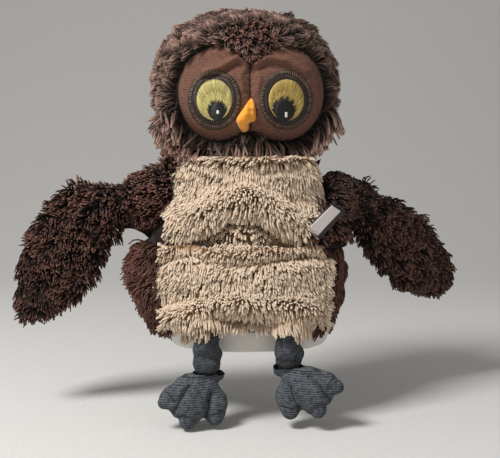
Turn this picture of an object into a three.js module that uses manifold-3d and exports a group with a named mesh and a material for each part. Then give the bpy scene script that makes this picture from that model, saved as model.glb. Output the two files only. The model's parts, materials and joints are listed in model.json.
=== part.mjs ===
// Owl hand puppet, worn upright on a hand. Millimetres, +Z up, the owl faces -Y.
// The origin is the centre of the glove's opening. Left and right are the owl's own: left is +X.
import * as THREE from "three";
import { mergeVertices } from "three/addons/utils/BufferGeometryUtils.js";
import Module from "manifold-3d";

const wasm = await Module();
wasm.setup();

// Fits
const SEAM = 0.3; // gap between two sewn neighbours
const JOINT_GAP = 0.3; // gap around every pivot

// Glove body: plush outer panels around a cotton lining
const HEM_WIDTH = 128;
const HEM_DEPTH = 84;
const BELLY_WIDTH = 166;
const BELLY_DEPTH = 98;
const NECK_WIDTH = 92;
const NECK_DEPTH = 68;
const BELLY_HEIGHT = 55; // height of the widest girth
const BODY_HEIGHT = 134; // hem to neck opening
const WAIST_HEIGHT = 80; // fold line between chest and belly
const WALL = 9; // cloth and pressed pile
const LINING = 1.5;
const HEM_BAND = 16; // height of the cotton band at the opening
const HEM_INSET = 6; // band behind the plush surface
const FRONT_SPAN = 60; // degrees from the front to the side seam
const GUSSET_SPAN = 120; // degrees from the front to the back edge of the side gusset
const BELLY_CROWN = 10; // how far the belly roll stands out
const CHEST_CROWN = 8;
const CROWN_FULLNESS = 0.5; // less makes the rolls fuller towards their edges
const WAIST_BEVEL = 4; // slope of the fold's two lips

// Head: stuffed ball inside a plush cover
const HEAD_WIDTH = 142;
const HEAD_DEPTH = 104;
const HEAD_HEIGHT = 113;
const HEAD_FULLNESS = 2.4; // 2 is an ellipsoid, more is boxier
const HEAD_RISE = 49; // head centre above the neck pivot
const HEAD_COVER = 9; // cloth and pile of the cover
const NECK_RISE = 16; // neck pivot above the neck opening
const NECK_FIT = 6; // neck ball's radius is this much under half the neck's width
const CHIN_SLOPE = 8; // degrees below level that the cover is trimmed to
const FINGER_BORE = 11; // radius inside the head's finger stall
const STALL_DEPTH = 78;

// Face
const FACE_CLOTH = 3.4;
const LOBE_X = 23;
const LOBE_Z = -8; // from the head's centre
const LOBE_WIDTH = 60;
const LOBE_HEIGHT = 66;
const MUZZLE_Z = -23; // the part of the face under the beak
const MUZZLE_WIDTH = 46;
const MUZZLE_HEIGHT = 36;
const EYE_X = 26;
const EYE_Z = -13;
const RING_WIDTH = 39;
const RING_HEIGHT = 43;
const IRIS_WIDTH = 25.5;
const IRIS_HEIGHT = 29;
const PUPIL_WIDTH = 14;
const PUPIL_HEIGHT = 15.4;
const PUPIL_IN = 1.6; // pupil's shift towards the beak
const PUPIL_DOWN = 6.6;
const GLINT = 3.2;
const GLINT_X = 1.4; // from the pupil's centre, the same on both eyes
const GLINT_Z = -2.4;
const STITCH = 0.8; // thickness of an embroidered layer
const BEAK_WIDTH = 13;
const BEAK_HEIGHT = 25;
const BEAK_REACH = 11;
const BEAK_TOP = -12; // from the head's centre
const BEAK_LEAN = -4; // sideways shift of the tip

// Wings: a sleeve at the shoulder, the wing and its folding tip
const SHOULDER_HEIGHT = 115;
const SHOULDER_OUT = 8; // pivot outside the glove's side
const SHOULDER_BALL = 16;
const SLEEVE_LENGTH = 21;
const SLEEVE_RADIUS = 14;
const SLEEVE_DROOP = 10; // degrees
const SLEEVE_BORE = 8.8; // radius inside the wing's finger stall
const WING_LENGTH = { left: 40, right: 37 };
const TIP_LENGTH = 94;
const WING_WIDTH = 51; // at the fold
const TIP_SWELL = 0.22; // how much wider the tip grows
const WING_THICK = 13;
const WING_EDGE = 5;
const WING_DROOP = { left: 39, right: 17 }; // degrees below level
const WING_BEND = { left: -6, right: 41 }; // degrees that the tip turns down further
const WING_SWEEP = { left: -38, right: 0 }; // degrees forward

// Legs and feet: stuffed knit
const LEG_X = 30;
const HIP_HEIGHT = 16;
const HIP_SINK = 5; // leg top sunk in the belly's lower edge
const LEG_RADIUS = 11;
const LEG_LENGTH = { left: 17, right: 22 }; // one leg is drawn up a little
const FOOT_LENGTH = 49;
const FOOT_WIDTH = 44;
const FOOT_THICK = 22;
const TOES = [[23, 0.58], [-7, 0.68], [-36, 0.6]]; // degrees outwards, share of the length
const SOLE = 3;
const FOOT_DROOP = 62; // degrees below level
const FOOT_SPLAY = { left: 38, right: 27 }; // degrees outwards
const CUFF = 2.4; // foot's rim around the ankle

// Sewn label, blank
const LABEL_WIDTH = 14;
const LABEL_LENGTH = 30;
const LABEL_CLOTH = 0.7;
const LABEL_LOOP = 1; // gap inside the folded loop
const LABEL_HEIGHT = 88;
const LABEL_ANGLE = 37; // degrees from the front
const LABEL_LIFT = 1.85; // sewn edge above the chest's plush
const LABEL_TILT = 0.85; // slope away from the chest
const LABEL_RISE = 1.5; // slope upwards
const STICKER = 0.5;

const rad = THREE.MathUtils.degToRad;
const lerp = THREE.MathUtils.lerp;

const cloth = (color, roughness) => new THREE.MeshStandardMaterial({ color, roughness, metalness: 0 });
const headPlush = cloth("#6b4a3c", 0.95);
const bodyPlush = cloth("#553729", 0.95);
const wingPlush = cloth("#3a221a", 0.95);
const gussetCloth = cloth("#2e1c16", 0.9);
const creamPlush = cloth("#d9bf9c", 0.95);
const cotton = cloth("#e8e4dc", 0.9);
const fibrefill = cloth("#f2efe8", 1);
const suede = cloth("#6e4636", 0.9);
const darkThread = cloth("#2c1c12", 0.7);
const irisThread = cloth("#cfc76a", 0.5);
const pupilThread = cloth("#141414", 0.5);
const whiteThread = cloth("#f4f2ec", 0.5);
const beakSuede = cloth("#f2a02c", 0.85);
const greyKnit = cloth("#4c4f54", 0.95);
const satin = cloth("#2b2a2c", 0.45);
const paper = cloth("#e9e0de", 0.6);

// A closed solid for cutting and joining.
function solid(geometry) {
  const bare = geometry.clone();
  bare.deleteAttribute("normal");
  bare.deleteAttribute("uv");
  const merged = mergeVertices(bare, 1e-4);
  const triangles = [];
  for (let i = 0; i < merged.index.count; i += 3) {
    const [a, b, c] = [0, 1, 2].map((k) => merged.index.getX(i + k));
    if (a !== b && b !== c && c !== a) triangles.push(a, b, c);
  }
  return new wasm.Manifold(
    new wasm.Mesh({
      numProp: 3,
      vertProperties: new Float32Array(merged.attributes.position.array),
      triVerts: new Uint32Array(triangles),
    }),
  );
}

function addPiece(parent, name, shape, material) {
  const mesh = shape.getMesh();
  const geometry = new THREE.BufferGeometry();
  geometry.setAttribute("position", new THREE.BufferAttribute(mesh.vertProperties, 3));
  geometry.setIndex(new THREE.BufferAttribute(mesh.triVerts, 1));
  geometry.computeVertexNormals();
  const piece = new THREE.Mesh(geometry, material);
  piece.name = name;
  parent.add(piece);
}

// The solid between two surfaces, each a function of (u, v) from 0 to 1. A ring closes on itself in u.
function between(outer, inner, columns, rows, ring = false) {
  const across = ring ? columns : columns + 1;
  const positions = [];
  for (const surface of [outer, inner]) {
    for (let j = 0; j <= rows; j++) {
      for (let i = 0; i < across; i++) positions.push(...surface(i / columns, j / rows));
    }
  }
  const at = (side, i, j) => (side * (rows + 1) + j) * across + (i % across);
  const quads = [];
  for (let i = 0; i < columns; i++) {
    for (let j = 0; j < rows; j++) {
      quads.push([at(0, i, j), at(0, i + 1, j), at(0, i + 1, j + 1), at(0, i, j + 1)]);
      quads.push([at(1, i, j), at(1, i, j + 1), at(1, i + 1, j + 1), at(1, i + 1, j)]);
    }
    quads.push([at(0, i, 0), at(1, i, 0), at(1, i + 1, 0), at(0, i + 1, 0)]);
    quads.push([at(0, i, rows), at(0, i + 1, rows), at(1, i + 1, rows), at(1, i, rows)]);
  }
  for (let j = 0; j < rows && !ring; j++) {
    quads.push([at(0, 0, j), at(0, 0, j + 1), at(1, 0, j + 1), at(1, 0, j)]);
    quads.push([at(0, columns, j), at(1, columns, j), at(1, columns, j + 1), at(0, columns, j + 1)]);
  }
  const geometry = new THREE.BufferGeometry();
  geometry.setAttribute("position", new THREE.Float32BufferAttribute(positions, 3));
  geometry.setIndex(quads.flatMap(([a, b, c, d]) => [a, b, c, a, c, d]));
  return solid(geometry);
}

const FACETS = 16; // around a ball or a bar
const NECK_FACETS = 28;

function ball(radius, x = 0, y = 0, z = 0, facets = FACETS) {
  const geometry = new THREE.SphereGeometry(radius, facets, facets / 2);
  return solid(geometry.rotateX(Math.PI / 2).translate(x, y, z));
}

// Radius of a faceted hollow whose flats still clear a ball or a bar that turns inside it.
const clear = (radius, facets = FACETS) => (radius + JOINT_GAP) / Math.cos(Math.PI / facets) ** 2;

// A round bar along Z from one height to another.
function bar(radius, low, high) {
  const geometry = new THREE.CylinderGeometry(radius, radius, high - low, FACETS);
  return solid(geometry.rotateX(Math.PI / 2).translate(0, 0, (low + high) / 2));
}

function block(low, high) {
  const size = high.map((top, k) => top - low[k]);
  const middle = high.map((top, k) => (top + low[k]) / 2);
  return solid(new THREE.BoxGeometry(...size).translate(...middle));
}

// The same solid moved by a three.js matrix.
const placed = (shape, matrix) => shape.transform(matrix.elements);
const FAR = 400;

const owl = new THREE.Group();

// A pivot group; its axis is kept in its own frame for the joint that turns there.
function pivot(parent, name, position, axis) {
  const group = new THREE.Group();
  group.name = name;
  group.position.set(...position);
  group.userData.axis = axis;
  parent.add(group);
  return group;
}

// Glove girth at a height: hem, belly and neck joined by quarter waves.
function girth(z, hem, belly, neck) {
  if (z < BELLY_HEIGHT) return hem + (belly - hem) * Math.sin(((Math.PI / 2) * z) / BELLY_HEIGHT);
  const rise = (z - BELLY_HEIGHT) / (BODY_HEIGHT - BELLY_HEIGHT);
  return neck + (belly - neck) * Math.cos((Math.PI / 2) * rise);
}
const halfWidth = (z) => girth(z, HEM_WIDTH, BELLY_WIDTH, NECK_WIDTH) / 2;
const halfDepth = (z) => girth(z, HEM_DEPTH, BELLY_DEPTH, NECK_DEPTH) / 2;

// Point of the glove at an angle from the front (towards +X), a height and a depth below the pile.
function glovePoint(angle, z, inset) {
  const x = (halfWidth(z) - inset) * Math.sin(angle);
  const y = -(halfDepth(z) - inset) * Math.cos(angle);
  return [x, y, z];
}

// Angle that half a seam takes up at a place on the glove.
function seamAngle(angle, z) {
  return SEAM / 2 / Math.hypot(halfWidth(z) * Math.cos(angle), halfDepth(z) * Math.sin(angle));
}

const STEP = 15; // degrees between columns, shared by panels and lining so that their flats lie parallel
const ROWS = 5;

// A plush panel of the glove between two angles (degrees) and two heights.
function panel(from, to, low, high, crown = 0, lipLow = 0, lipHigh = 0) {
  const [start, end] = [rad(from), rad(to)];
  const surface = (inset, lift, drop) => (u, v) => {
    const z = lerp(low + lift, high - drop, v);
    const angle = lerp(start + seamAngle(start, z), end - seamAngle(end, z), u);
    const bulge = crown * Math.sin(Math.PI * u) * Math.sin(Math.PI * v) ** CROWN_FULLNESS;
    return glovePoint(angle, z, inset > 0 ? inset : -bulge);
  };
  return between(surface(0, lipLow, lipHigh), surface(WALL, 0, 0), Math.round((to - from) / STEP), ROWS);
}

// A closed band of the glove between two depths and two heights.
function band(outside, inside, low, high) {
  const surface = (inset) => (u, v) => glovePoint(2 * Math.PI * u, lerp(low, high, v), inset);
  return between(surface(outside), surface(inside), 360 / STEP, ROWS, true);
}

const liningDepth = WALL + SEAM;
const plushLow = HEM_BAND + SEAM;
const waistLow = WAIST_HEIGHT - JOINT_GAP / 2;
const waistHigh = WAIST_HEIGHT + JOINT_GAP / 2;

// Hips: the legs hang from the belly's lower edge, in front of the cotton band.
const hipAngle = Math.asin(LEG_X / halfWidth(HIP_HEIGHT));
const hipY = glovePoint(hipAngle, HIP_HEIGHT, 0)[1] - LEG_RADIUS + HIP_SINK;
const sides = [
  { side: "left", out: 1 },
  { side: "right", out: -1 },
];
const hipSockets = sides.map(({ out }) =>
  ball(clear(LEG_RADIUS), out * LEG_X, hipY, HIP_HEIGHT),
);
const lessHips = (shape) => shape.subtract(hipSockets[0]).subtract(hipSockets[1]);

// Lower glove: belly, two back halves, hem band and lining skirt.
const bellyPanel = panel(-FRONT_SPAN, FRONT_SPAN, plushLow, waistLow, BELLY_CROWN, 0, WAIST_BEVEL);
addPiece(owl, "belly_panel", lessHips(bellyPanel), creamPlush);
addPiece(owl, "back_lower_left", panel(FRONT_SPAN, 180, plushLow, waistLow), bodyPlush);
addPiece(owl, "back_lower_right", panel(180, 360 - FRONT_SPAN, plushLow, waistLow), bodyPlush);
addPiece(owl, "hem_band", lessHips(band(HEM_INSET, liningDepth + LINING, 0, HEM_BAND)), cotton);
addPiece(owl, "lining_skirt", band(liningDepth, liningDepth + LINING, plushLow, waistLow), cotton);

// Torso, bending at the waist fold along the front wall's inner face.
const waistY = -(halfDepth(WAIST_HEIGHT) - WALL);
const torso = pivot(owl, "waist_fold", [0, waistY, WAIST_HEIGHT], [1, 0, 0]);
const toTorso = new THREE.Matrix4().makeTranslation(0, -waistY, -WAIST_HEIGHT);

// Shoulders: ball ends of the wing sleeves, sunk in the gussets.
const shoulderX = halfWidth(SHOULDER_HEIGHT) + SHOULDER_OUT;
const shoulderFrames = sides.map(({ side, out }) => {
  const frame = new THREE.Matrix4().makeTranslation(out * shoulderX, 0, SHOULDER_HEIGHT);
  frame.multiply(new THREE.Matrix4().makeRotationZ(-out * rad(WING_SWEEP[side])));
  return frame.multiply(new THREE.Matrix4().makeRotationY(out * rad(SLEEVE_DROOP)));
});
// A bar along the sleeve, outwards, from the shoulder pivot.
function sleeveBar(out, radius, from, to) {
  const turn = new THREE.Matrix4().makeRotationY((out * Math.PI) / 2);
  return placed(bar(radius, from, to), turn);
}
// A finger's way: along the sleeve outwards, and straight into the glove from the shoulder pivot.
function fingerWay(out, frame, radius, inwards, outwards) {
  const level = new THREE.Matrix4().extractRotation(frame).invert();
  const inner = placed(sleeveBar(out, radius, -inwards, 0), level);
  return sleeveBar(out, radius, 0, outwards).add(ball(radius)).add(inner);
}
const armholes = sides.map(({ out }, k) => {
  const reach = SHOULDER_BALL + WALL + LINING + SEAM;
  const way = fingerWay(out, shoulderFrames[k], SLEEVE_BORE + LINING, reach, SHOULDER_BALL);
  return placed(ball(clear(SHOULDER_BALL)).add(way), shoulderFrames[k]);
});
const lessArms = (shape) => shape.subtract(armholes[0]).subtract(armholes[1]);

// Neck: a ball sitting in the glove's upper rim.
const neckHeight = BODY_HEIGHT + NECK_RISE;
const neckBall = NECK_WIDTH / 2 - NECK_FIT;
const neckSocket = ball(clear(neckBall, NECK_FACETS), 0, 0, neckHeight, NECK_FACETS);
const torsoPiece = (name, shape, material) =>
  addPiece(torso, name, placed(lessArms(shape).subtract(neckSocket), toTorso), material);

const chestPanel = panel(-FRONT_SPAN, FRONT_SPAN, waistHigh, BODY_HEIGHT, CHEST_CROWN, WAIST_BEVEL, 0);
torsoPiece("chest_panel", chestPanel, creamPlush);
torsoPiece("side_gusset_left", panel(FRONT_SPAN, GUSSET_SPAN, waistHigh, BODY_HEIGHT), gussetCloth);
torsoPiece("side_gusset_right", panel(-GUSSET_SPAN, -FRONT_SPAN, waistHigh, BODY_HEIGHT), gussetCloth);
torsoPiece("back_upper_left", panel(GUSSET_SPAN, 180, waistHigh, BODY_HEIGHT), bodyPlush);
torsoPiece("back_upper_right", panel(180, 360 - GUSSET_SPAN, waistHigh, BODY_HEIGHT), bodyPlush);
torsoPiece("glove_lining", band(liningDepth, liningDepth + LINING, waistHigh, BODY_HEIGHT), cotton);

// Head, nodding on the finger stall and turning around it.
const nod = pivot(torso, "head_nod", [0, -waistY, neckHeight - WAIST_HEIGHT], [1, 0, 0]);
const stallLow = -neckBall * 0.8;
const stallHigh = stallLow + STALL_DEPTH;
const stall = bar(FINGER_BORE + LINING, stallLow, stallHigh);
const stallSpace = bar(FINGER_BORE, stallLow - FAR, stallHigh - LINING);
addPiece(nod, "head_finger_stall", stall.subtract(stallSpace), cotton);

const head = pivot(nod, "head_turn", [0, 0, 0], [0, 0, 1]);

// The head's form at a depth below the pile.
function headForm(inset) {
  const geometry = new THREE.SphereGeometry(1, 22, 13).rotateX(Math.PI / 2);
  const point = new THREE.Vector3();
  const half = [HEAD_WIDTH, HEAD_DEPTH, HEAD_HEIGHT].map((size) => size / 2 - inset);
  const position = geometry.attributes.position;
  for (let i = 0; i < position.count; i++) {
    point.fromBufferAttribute(position, i);
    const sum = point.toArray().reduce((all, d, k) => all + Math.abs(d / half[k]) ** HEAD_FULLNESS, 0);
    point.multiplyScalar(sum ** (-1 / HEAD_FULLNESS));
    position.setXYZ(i, point.x, point.y, point.z + HEAD_RISE);
  }
  return solid(geometry);
}

// An upright prism through the face: an ellipse about (x, z) from the head's centre.
function facePrism(x, z, width, height) {
  const outline = new THREE.Shape().absellipse(x, z + HEAD_RISE, width / 2, height / 2, 0, 2 * Math.PI);
  const options = { depth: FAR, bevelEnabled: false, curveSegments: 9 };
  const geometry = new THREE.ExtrudeGeometry(outline, options);
  return solid(geometry.rotateX(Math.PI / 2));
}

const coverOuter = headForm(0);
const coverInner = headForm(HEAD_COVER);
const bore = bar(clear(FINGER_BORE + LINING), -FAR, stallHigh + JOINT_GAP);
const stuffing = headForm(HEAD_COVER + SEAM);
addPiece(head, "head_stuffing", stuffing.subtract(bore), fibrefill);

// Everything below the chin's slope, as seen from the neck pivot.
const chinDrop = FAR * Math.tan(rad(CHIN_SLOPE));
const chinProfile = [
  [0, -FAR],
  [FAR, -FAR],
  [FAR, -chinDrop],
  [0, 0],
].map(([r, z]) => new THREE.Vector2(r, z));
const underChin = solid(new THREE.LatheGeometry(chinProfile, NECK_FACETS).rotateX(Math.PI / 2));
const neckForm = ball(neckBall, 0, 0, 0, NECK_FACETS).intersect(underChin.translate([0, 0, -SEAM]));
addPiece(head, "neck_collar", neckForm.subtract(bore), headPlush);

// The face's outline: two lobes with a notch between them at the top, grown by a margin.
function faceOutline(margin) {
  const muzzle = facePrism(0, MUZZLE_Z, MUZZLE_WIDTH + 2 * margin, MUZZLE_HEIGHT + 2 * margin);
  const lobe = (x) => facePrism(x, LOBE_Z, LOBE_WIDTH + 2 * margin, LOBE_HEIGHT + 2 * margin);
  return muzzle.add(lobe(-LOBE_X)).add(lobe(LOBE_X));
}
const faceShape = faceOutline(0);
const faceHole = faceOutline(SEAM);
const cover = coverOuter.subtract(coverInner).subtract(underChin).subtract(bore);
const frontHalf = block([-FAR, -FAR, -FAR], [FAR, -SEAM / 2, FAR]);
const backHalf = block([-FAR, SEAM / 2, -FAR], [FAR, FAR, FAR]);
addPiece(head, "head_cover_front", cover.intersect(frontHalf).subtract(faceHole), headPlush);
addPiece(head, "head_cover_back", cover.intersect(backHalf), headPlush);

// Face panels and the embroidery that lies on them, layer over layer.
const faceTop = HEAD_COVER - FACE_CLOTH;
const layer = (low, high) => headForm(faceTop - high).subtract(headForm(faceTop - low));
const faceLayer = headForm(faceTop).subtract(coverInner);
const ringLayer = layer(SEAM, SEAM + STITCH);
const pupilLayer = layer(2 * SEAM + STITCH, 2 * (SEAM + STITCH));
const glintLayer = layer(3 * SEAM + 2 * STITCH, 3 * (SEAM + STITCH));
sides.forEach(({ side, out }) => {
  const [near, far] = out > 0 ? [SEAM / 2, FAR] : [-FAR, -SEAM / 2];
  const half = block([near, -FAR, -FAR], [far, FAR, FAR]);
  addPiece(head, `face_${side}`, faceLayer.intersect(faceShape).intersect(half), suede);
  const ring = facePrism(out * EYE_X, EYE_Z, RING_WIDTH, RING_HEIGHT);
  const irisHole = facePrism(out * EYE_X, EYE_Z, IRIS_WIDTH + 2 * SEAM, IRIS_HEIGHT + 2 * SEAM);
  const iris = facePrism(out * EYE_X, EYE_Z, IRIS_WIDTH, IRIS_HEIGHT);
  const pupilX = out * (EYE_X - PUPIL_IN);
  const pupilZ = EYE_Z - PUPIL_DOWN;
  const pupil = facePrism(pupilX, pupilZ, PUPIL_WIDTH, PUPIL_HEIGHT);
  const glint = facePrism(pupilX + GLINT_X, pupilZ + GLINT_Z, GLINT, GLINT);
  addPiece(head, `eye_ring_${side}`, ringLayer.intersect(ring).subtract(irisHole), darkThread);
  addPiece(head, `iris_${side}`, ringLayer.intersect(iris), irisThread);
  addPiece(head, `pupil_${side}`, pupilLayer.intersect(pupil), pupilThread);
  addPiece(head, `glint_${side}`, glintLayer.intersect(glint), whiteThread);
});

// Beak: a hooked drop sewn over the face's middle seam.
const beakForm = new THREE.SphereGeometry(1, 12, 9).rotateX(Math.PI / 2);
const beakPoints = beakForm.attributes.position;
const faceFront = -(HEAD_DEPTH / 2 - faceTop);
for (let i = 0; i < beakPoints.count; i++) {
  const [x, y, z] = [beakPoints.getX(i), beakPoints.getY(i), beakPoints.getZ(i)];
  const down = (1 - z) / 2;
  const swell = Math.sin(Math.PI * down ** 1.35);
  const round = Math.hypot(x, y) || 1;
  beakPoints.setXYZ(
    i,
    (x / round) * swell * (BEAK_WIDTH / 2) + BEAK_LEAN * down ** 2,
    (y / round) * swell * BEAK_REACH + faceFront,
    HEAD_RISE + BEAK_TOP - BEAK_HEIGHT * down,
  );
}
const ringSeat = headForm(faceTop - 2 * SEAM - STITCH);
const beakSeat = sides
  .map(({ out }) => facePrism(out * EYE_X, EYE_Z, RING_WIDTH + 2 * SEAM, RING_HEIGHT + 2 * SEAM))
  .reduce((seat, ring) => seat.add(ringSeat.intersect(ring)), headForm(faceTop - SEAM));
addPiece(head, "beak", solid(beakForm).subtract(beakSeat), beakSuede);

// Half the wing's thickness at a place across it, from -1 to 1.
const lens = (across) => lerp(WING_THICK, WING_EDGE, across * across) / 2;

// A wing form: half width by distance along, ends by place across, thinned at its start.
function wingForm(out, width, start, end, thin) {
  const surface = (face) => (u, v) => {
    const across = 2 * v - 1;
    const way = Math.sin((Math.PI / 2) * u);
    const z = width(way) * across;
    const x = lerp(start(z), end(z), way);
    return [out * x, -face * out * lens(across) * lerp(thin, 1, Math.min(1, 4 * way)), z];
  };
  return between(surface(1), surface(-1), 8, 6);
}

const mirrorTurn = (out, degrees) => new THREE.Matrix4().makeRotationY(out * rad(degrees));

sides.forEach(({ side, out }, k) => {
  const halfBend = rad(WING_BEND[side] / 2);
  const foldReach = WING_WIDTH / 2 / Math.cos(halfBend);

  // Sleeve with the finger stall inside, a ball at the shoulder and a cup for the wing.
  const sweep = pivot(torso, `wing_${side}_sweep`, [0, 0, 0], [0, 0, -out]);
  new THREE.Matrix4()
    .multiplyMatrices(toTorso, shoulderFrames[k])
    .decompose(sweep.position, sweep.quaternion, sweep.scale);
  const cup = ball(clear(SLEEVE_RADIUS), out * SLEEVE_LENGTH);
  const sleeve = ball(SHOULDER_BALL).add(sleeveBar(out, SLEEVE_RADIUS, 0, SLEEVE_LENGTH));
  const stallRadius = SLEEVE_BORE + LINING - SEAM;
  const way = (radius, inwards, outwards) => fingerWay(out, shoulderFrames[k], radius, inwards, outwards);
  const sleeveBore = way(stallRadius + SEAM, FAR, FAR);
  addPiece(sweep, `wing_sleeve_${side}`, sleeve.subtract(cup).subtract(sleeveBore), wingPlush);
  const wingStall = way(stallRadius, SHOULDER_BALL * 0.7, SLEEVE_LENGTH).subtract(cup);
  const wingStallSpace = way(stallRadius - LINING, FAR, FAR);
  addPiece(sweep, `wing_finger_stall_${side}`, wingStall.subtract(wingStallSpace), cotton);

  // Wing, flapping at the sleeve's end: a front and a back panel.
  const flap = pivot(sweep, `wing_${side}_flap`, [out * SLEEVE_LENGTH, 0, 0], [0, -out, 0]);
  flap.rotation.y = out * rad(WING_DROOP[side] - SLEEVE_DROOP);
  const wingHalf = (u) => (WING_WIDTH / 2) * Math.sin((Math.PI / 2) * lerp(0.19, 1, u)) ** 0.9;
  const foldLine = (z) => WING_LENGTH[side] + z * Math.tan(halfBend);
  const spindle = (radius, reach) => {
    const points = [new THREE.Vector2(0, -reach)];
    for (const across of [-1, -2 / 3, -1 / 3, 0, 1 / 3, 2 / 3, 1]) {
      points.push(new THREE.Vector2(radius(lens(across)), across * reach));
    }
    points.push(new THREE.Vector2(0, reach));
    return solid(new THREE.LatheGeometry(points, FACETS).rotateX(Math.PI / 2));
  };
  const toFold = new THREE.Matrix4().makeTranslation(out * WING_LENGTH[side], 0, 0);
  toFold.multiply(mirrorTurn(out, WING_BEND[side] / 2));
  const wingRoot = WING_LENGTH[side] * 0.19;
  const wing = wingForm(out, wingHalf, () => wingRoot, foldLine, 1)
    .add(ball(SLEEVE_RADIUS))
    .add(placed(spindle((r) => r, foldReach), toFold))
    .subtract(sleeveBar(out, SLEEVE_BORE, -FAR, SLEEVE_RADIUS * 0.4));
  addPiece(flap, `wing_front_${side}`, wing.intersect(frontHalf), wingPlush);
  addPiece(flap, `wing_back_${side}`, wing.intersect(backHalf), wingPlush);

  // Tip, folding across the wing.
  const fold = pivot(flap, `wing_${side}_fold`, [out * WING_LENGTH[side], 0, 0], [0, 0, -out]);
  fold.rotation.y = out * halfBend;
  const tipHalf = (u) =>
    (WING_WIDTH / 2) * (1 + TIP_SWELL * Math.sin(Math.PI * u)) * Math.sqrt(1 - (0.99 * u) ** 3);
  const toTip = mirrorTurn(out, WING_BEND[side] / 2);
  const tip = placed(
    wingForm(out, tipHalf, (z) => -z * Math.tan(halfBend), () => TIP_LENGTH, 0.88),
    toTip,
  ).subtract(spindle((r) => clear(r), foldReach + JOINT_GAP));
  addPiece(fold, `wing_tip_front_${side}`, tip.intersect(frontHalf), wingPlush);
  addPiece(fold, `wing_tip_back_${side}`, tip.intersect(backHalf), wingPlush);

  // Leg: a stuffed knit tube with rounded ends.
  const hip = pivot(owl, `leg_${side}_swing`, [out * LEG_X, hipY, HIP_HEIGHT], [-1, 0, 0]);
  const leg = bar(LEG_RADIUS, -LEG_LENGTH[side], 0)
    .add(ball(LEG_RADIUS))
    .add(ball(LEG_RADIUS, 0, 0, -LEG_LENGTH[side]));
  addPiece(hip, `leg_${side}`, leg, greyKnit);

  // Foot: a cuff around the ankle, an instep and three toes, over a sole.
  const ankle = pivot(hip, `foot_${side}_flex`, [0, 0, -LEG_LENGTH[side]], [-1, 0, 0]);
  const lie = new THREE.Matrix4().makeRotationY(-out * rad(FOOT_SPLAY[side]));
  lie.multiply(new THREE.Matrix4().makeRotationX(rad(FOOT_DROOP)));
  const instep = new THREE.SphereGeometry(1, 12, 8);
  instep.scale(FOOT_WIDTH * 0.42, FOOT_LENGTH * 0.4, FOOT_THICK / 2);
  let form = solid(instep.translate(0, -FOOT_LENGTH * 0.5, 0));
  for (const [turn, reach] of TOES) {
    const toe = new THREE.SphereGeometry(1, 8, 6);
    toe.scale(FOOT_WIDTH * 0.21, FOOT_LENGTH * 0.3, FOOT_THICK * 0.42);
    toe.translate(0, -FOOT_LENGTH * reach, -FOOT_THICK * 0.06).rotateZ(out * rad(turn));
    form = form.add(solid(toe));
  }
  const soleTop = -FOOT_THICK / 2 + SOLE;
  const soleCut = block([-FAR, -FAR, -FAR], [FAR, FAR, soleTop]);
  const upperCut = block([-FAR, -FAR, soleTop + SEAM], [FAR, FAR, FAR]);
  const cuff = ball(LEG_RADIUS + CUFF);
  const socket = ball(clear(LEG_RADIUS));
  const belowAnkle = block([-FAR, -FAR, -FAR], [FAR, FAR, -LEG_RADIUS * 0.45]);
  const solePiece = placed(form.intersect(soleCut), lie).subtract(ball(LEG_RADIUS + CUFF + SEAM));
  const upperPiece = placed(form.intersect(upperCut), lie).add(cuff).subtract(socket);
  addPiece(ankle, `foot_upper_${side}`, upperPiece.intersect(belowAnkle), greyKnit);
  addPiece(ankle, `foot_sole_${side}`, solePiece.intersect(belowAnkle), greyKnit);
});

// Label: a folded loop sewn in at the left side seam, standing up and outwards, with a blank sticker.
const labelAngle = rad(LABEL_ANGLE);
const labelSeat = glovePoint(labelAngle, LABEL_HEIGHT, -LABEL_LIFT);
const labelAt = [labelSeat[0], labelSeat[1] - waistY, LABEL_HEIGHT - WAIST_HEIGHT];
const label = pivot(torso, "label_flip", labelAt, [0, -1, 0]);
const girthX = halfWidth(LABEL_HEIGHT) * Math.cos(labelAngle);
const girthY = halfDepth(LABEL_HEIGHT) * Math.sin(labelAngle);
const backward = new THREE.Vector3(girthX, girthY, 0).normalize();
const outward = new THREE.Vector3(girthY, -girthX, 0).normalize();
const along = backward.clone().addScaledVector(outward, LABEL_TILT);
along.z += LABEL_RISE;
along.normalize();
const labelOut = outward.clone().addScaledVector(along, -outward.dot(along)).normalize();
const acrossLabel = new THREE.Vector3().crossVectors(labelOut, along);
label.quaternion.setFromRotationMatrix(new THREE.Matrix4().makeBasis(along, acrossLabel, labelOut));
const loopThick = 2 * LABEL_CLOTH + LABEL_LOOP;
const loop = block([0, -LABEL_WIDTH / 2, 0], [LABEL_LENGTH, LABEL_WIDTH / 2, loopThick]).subtract(
  block([LABEL_CLOTH * 2, -FAR, LABEL_CLOTH], [LABEL_LENGTH - LABEL_CLOTH, FAR, loopThick - LABEL_CLOTH]),
);
addPiece(label, "sewn_label", loop, satin);
const stickerLow = [LABEL_LENGTH * 0.08, -LABEL_WIDTH * 0.22, loopThick + SEAM];
const stickerHigh = [LABEL_LENGTH * 0.92, LABEL_WIDTH * 0.48, loopThick + SEAM + STICKER];
addPiece(label, "label_sticker", block(stickerLow, stickerHigh), paper);

export default owl;
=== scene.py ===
"""Owl hand puppet: plush with real strands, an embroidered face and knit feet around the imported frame."""

import json
import math

import bpy
import numpy as np
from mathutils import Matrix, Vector, bvhtree, kdtree


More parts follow.
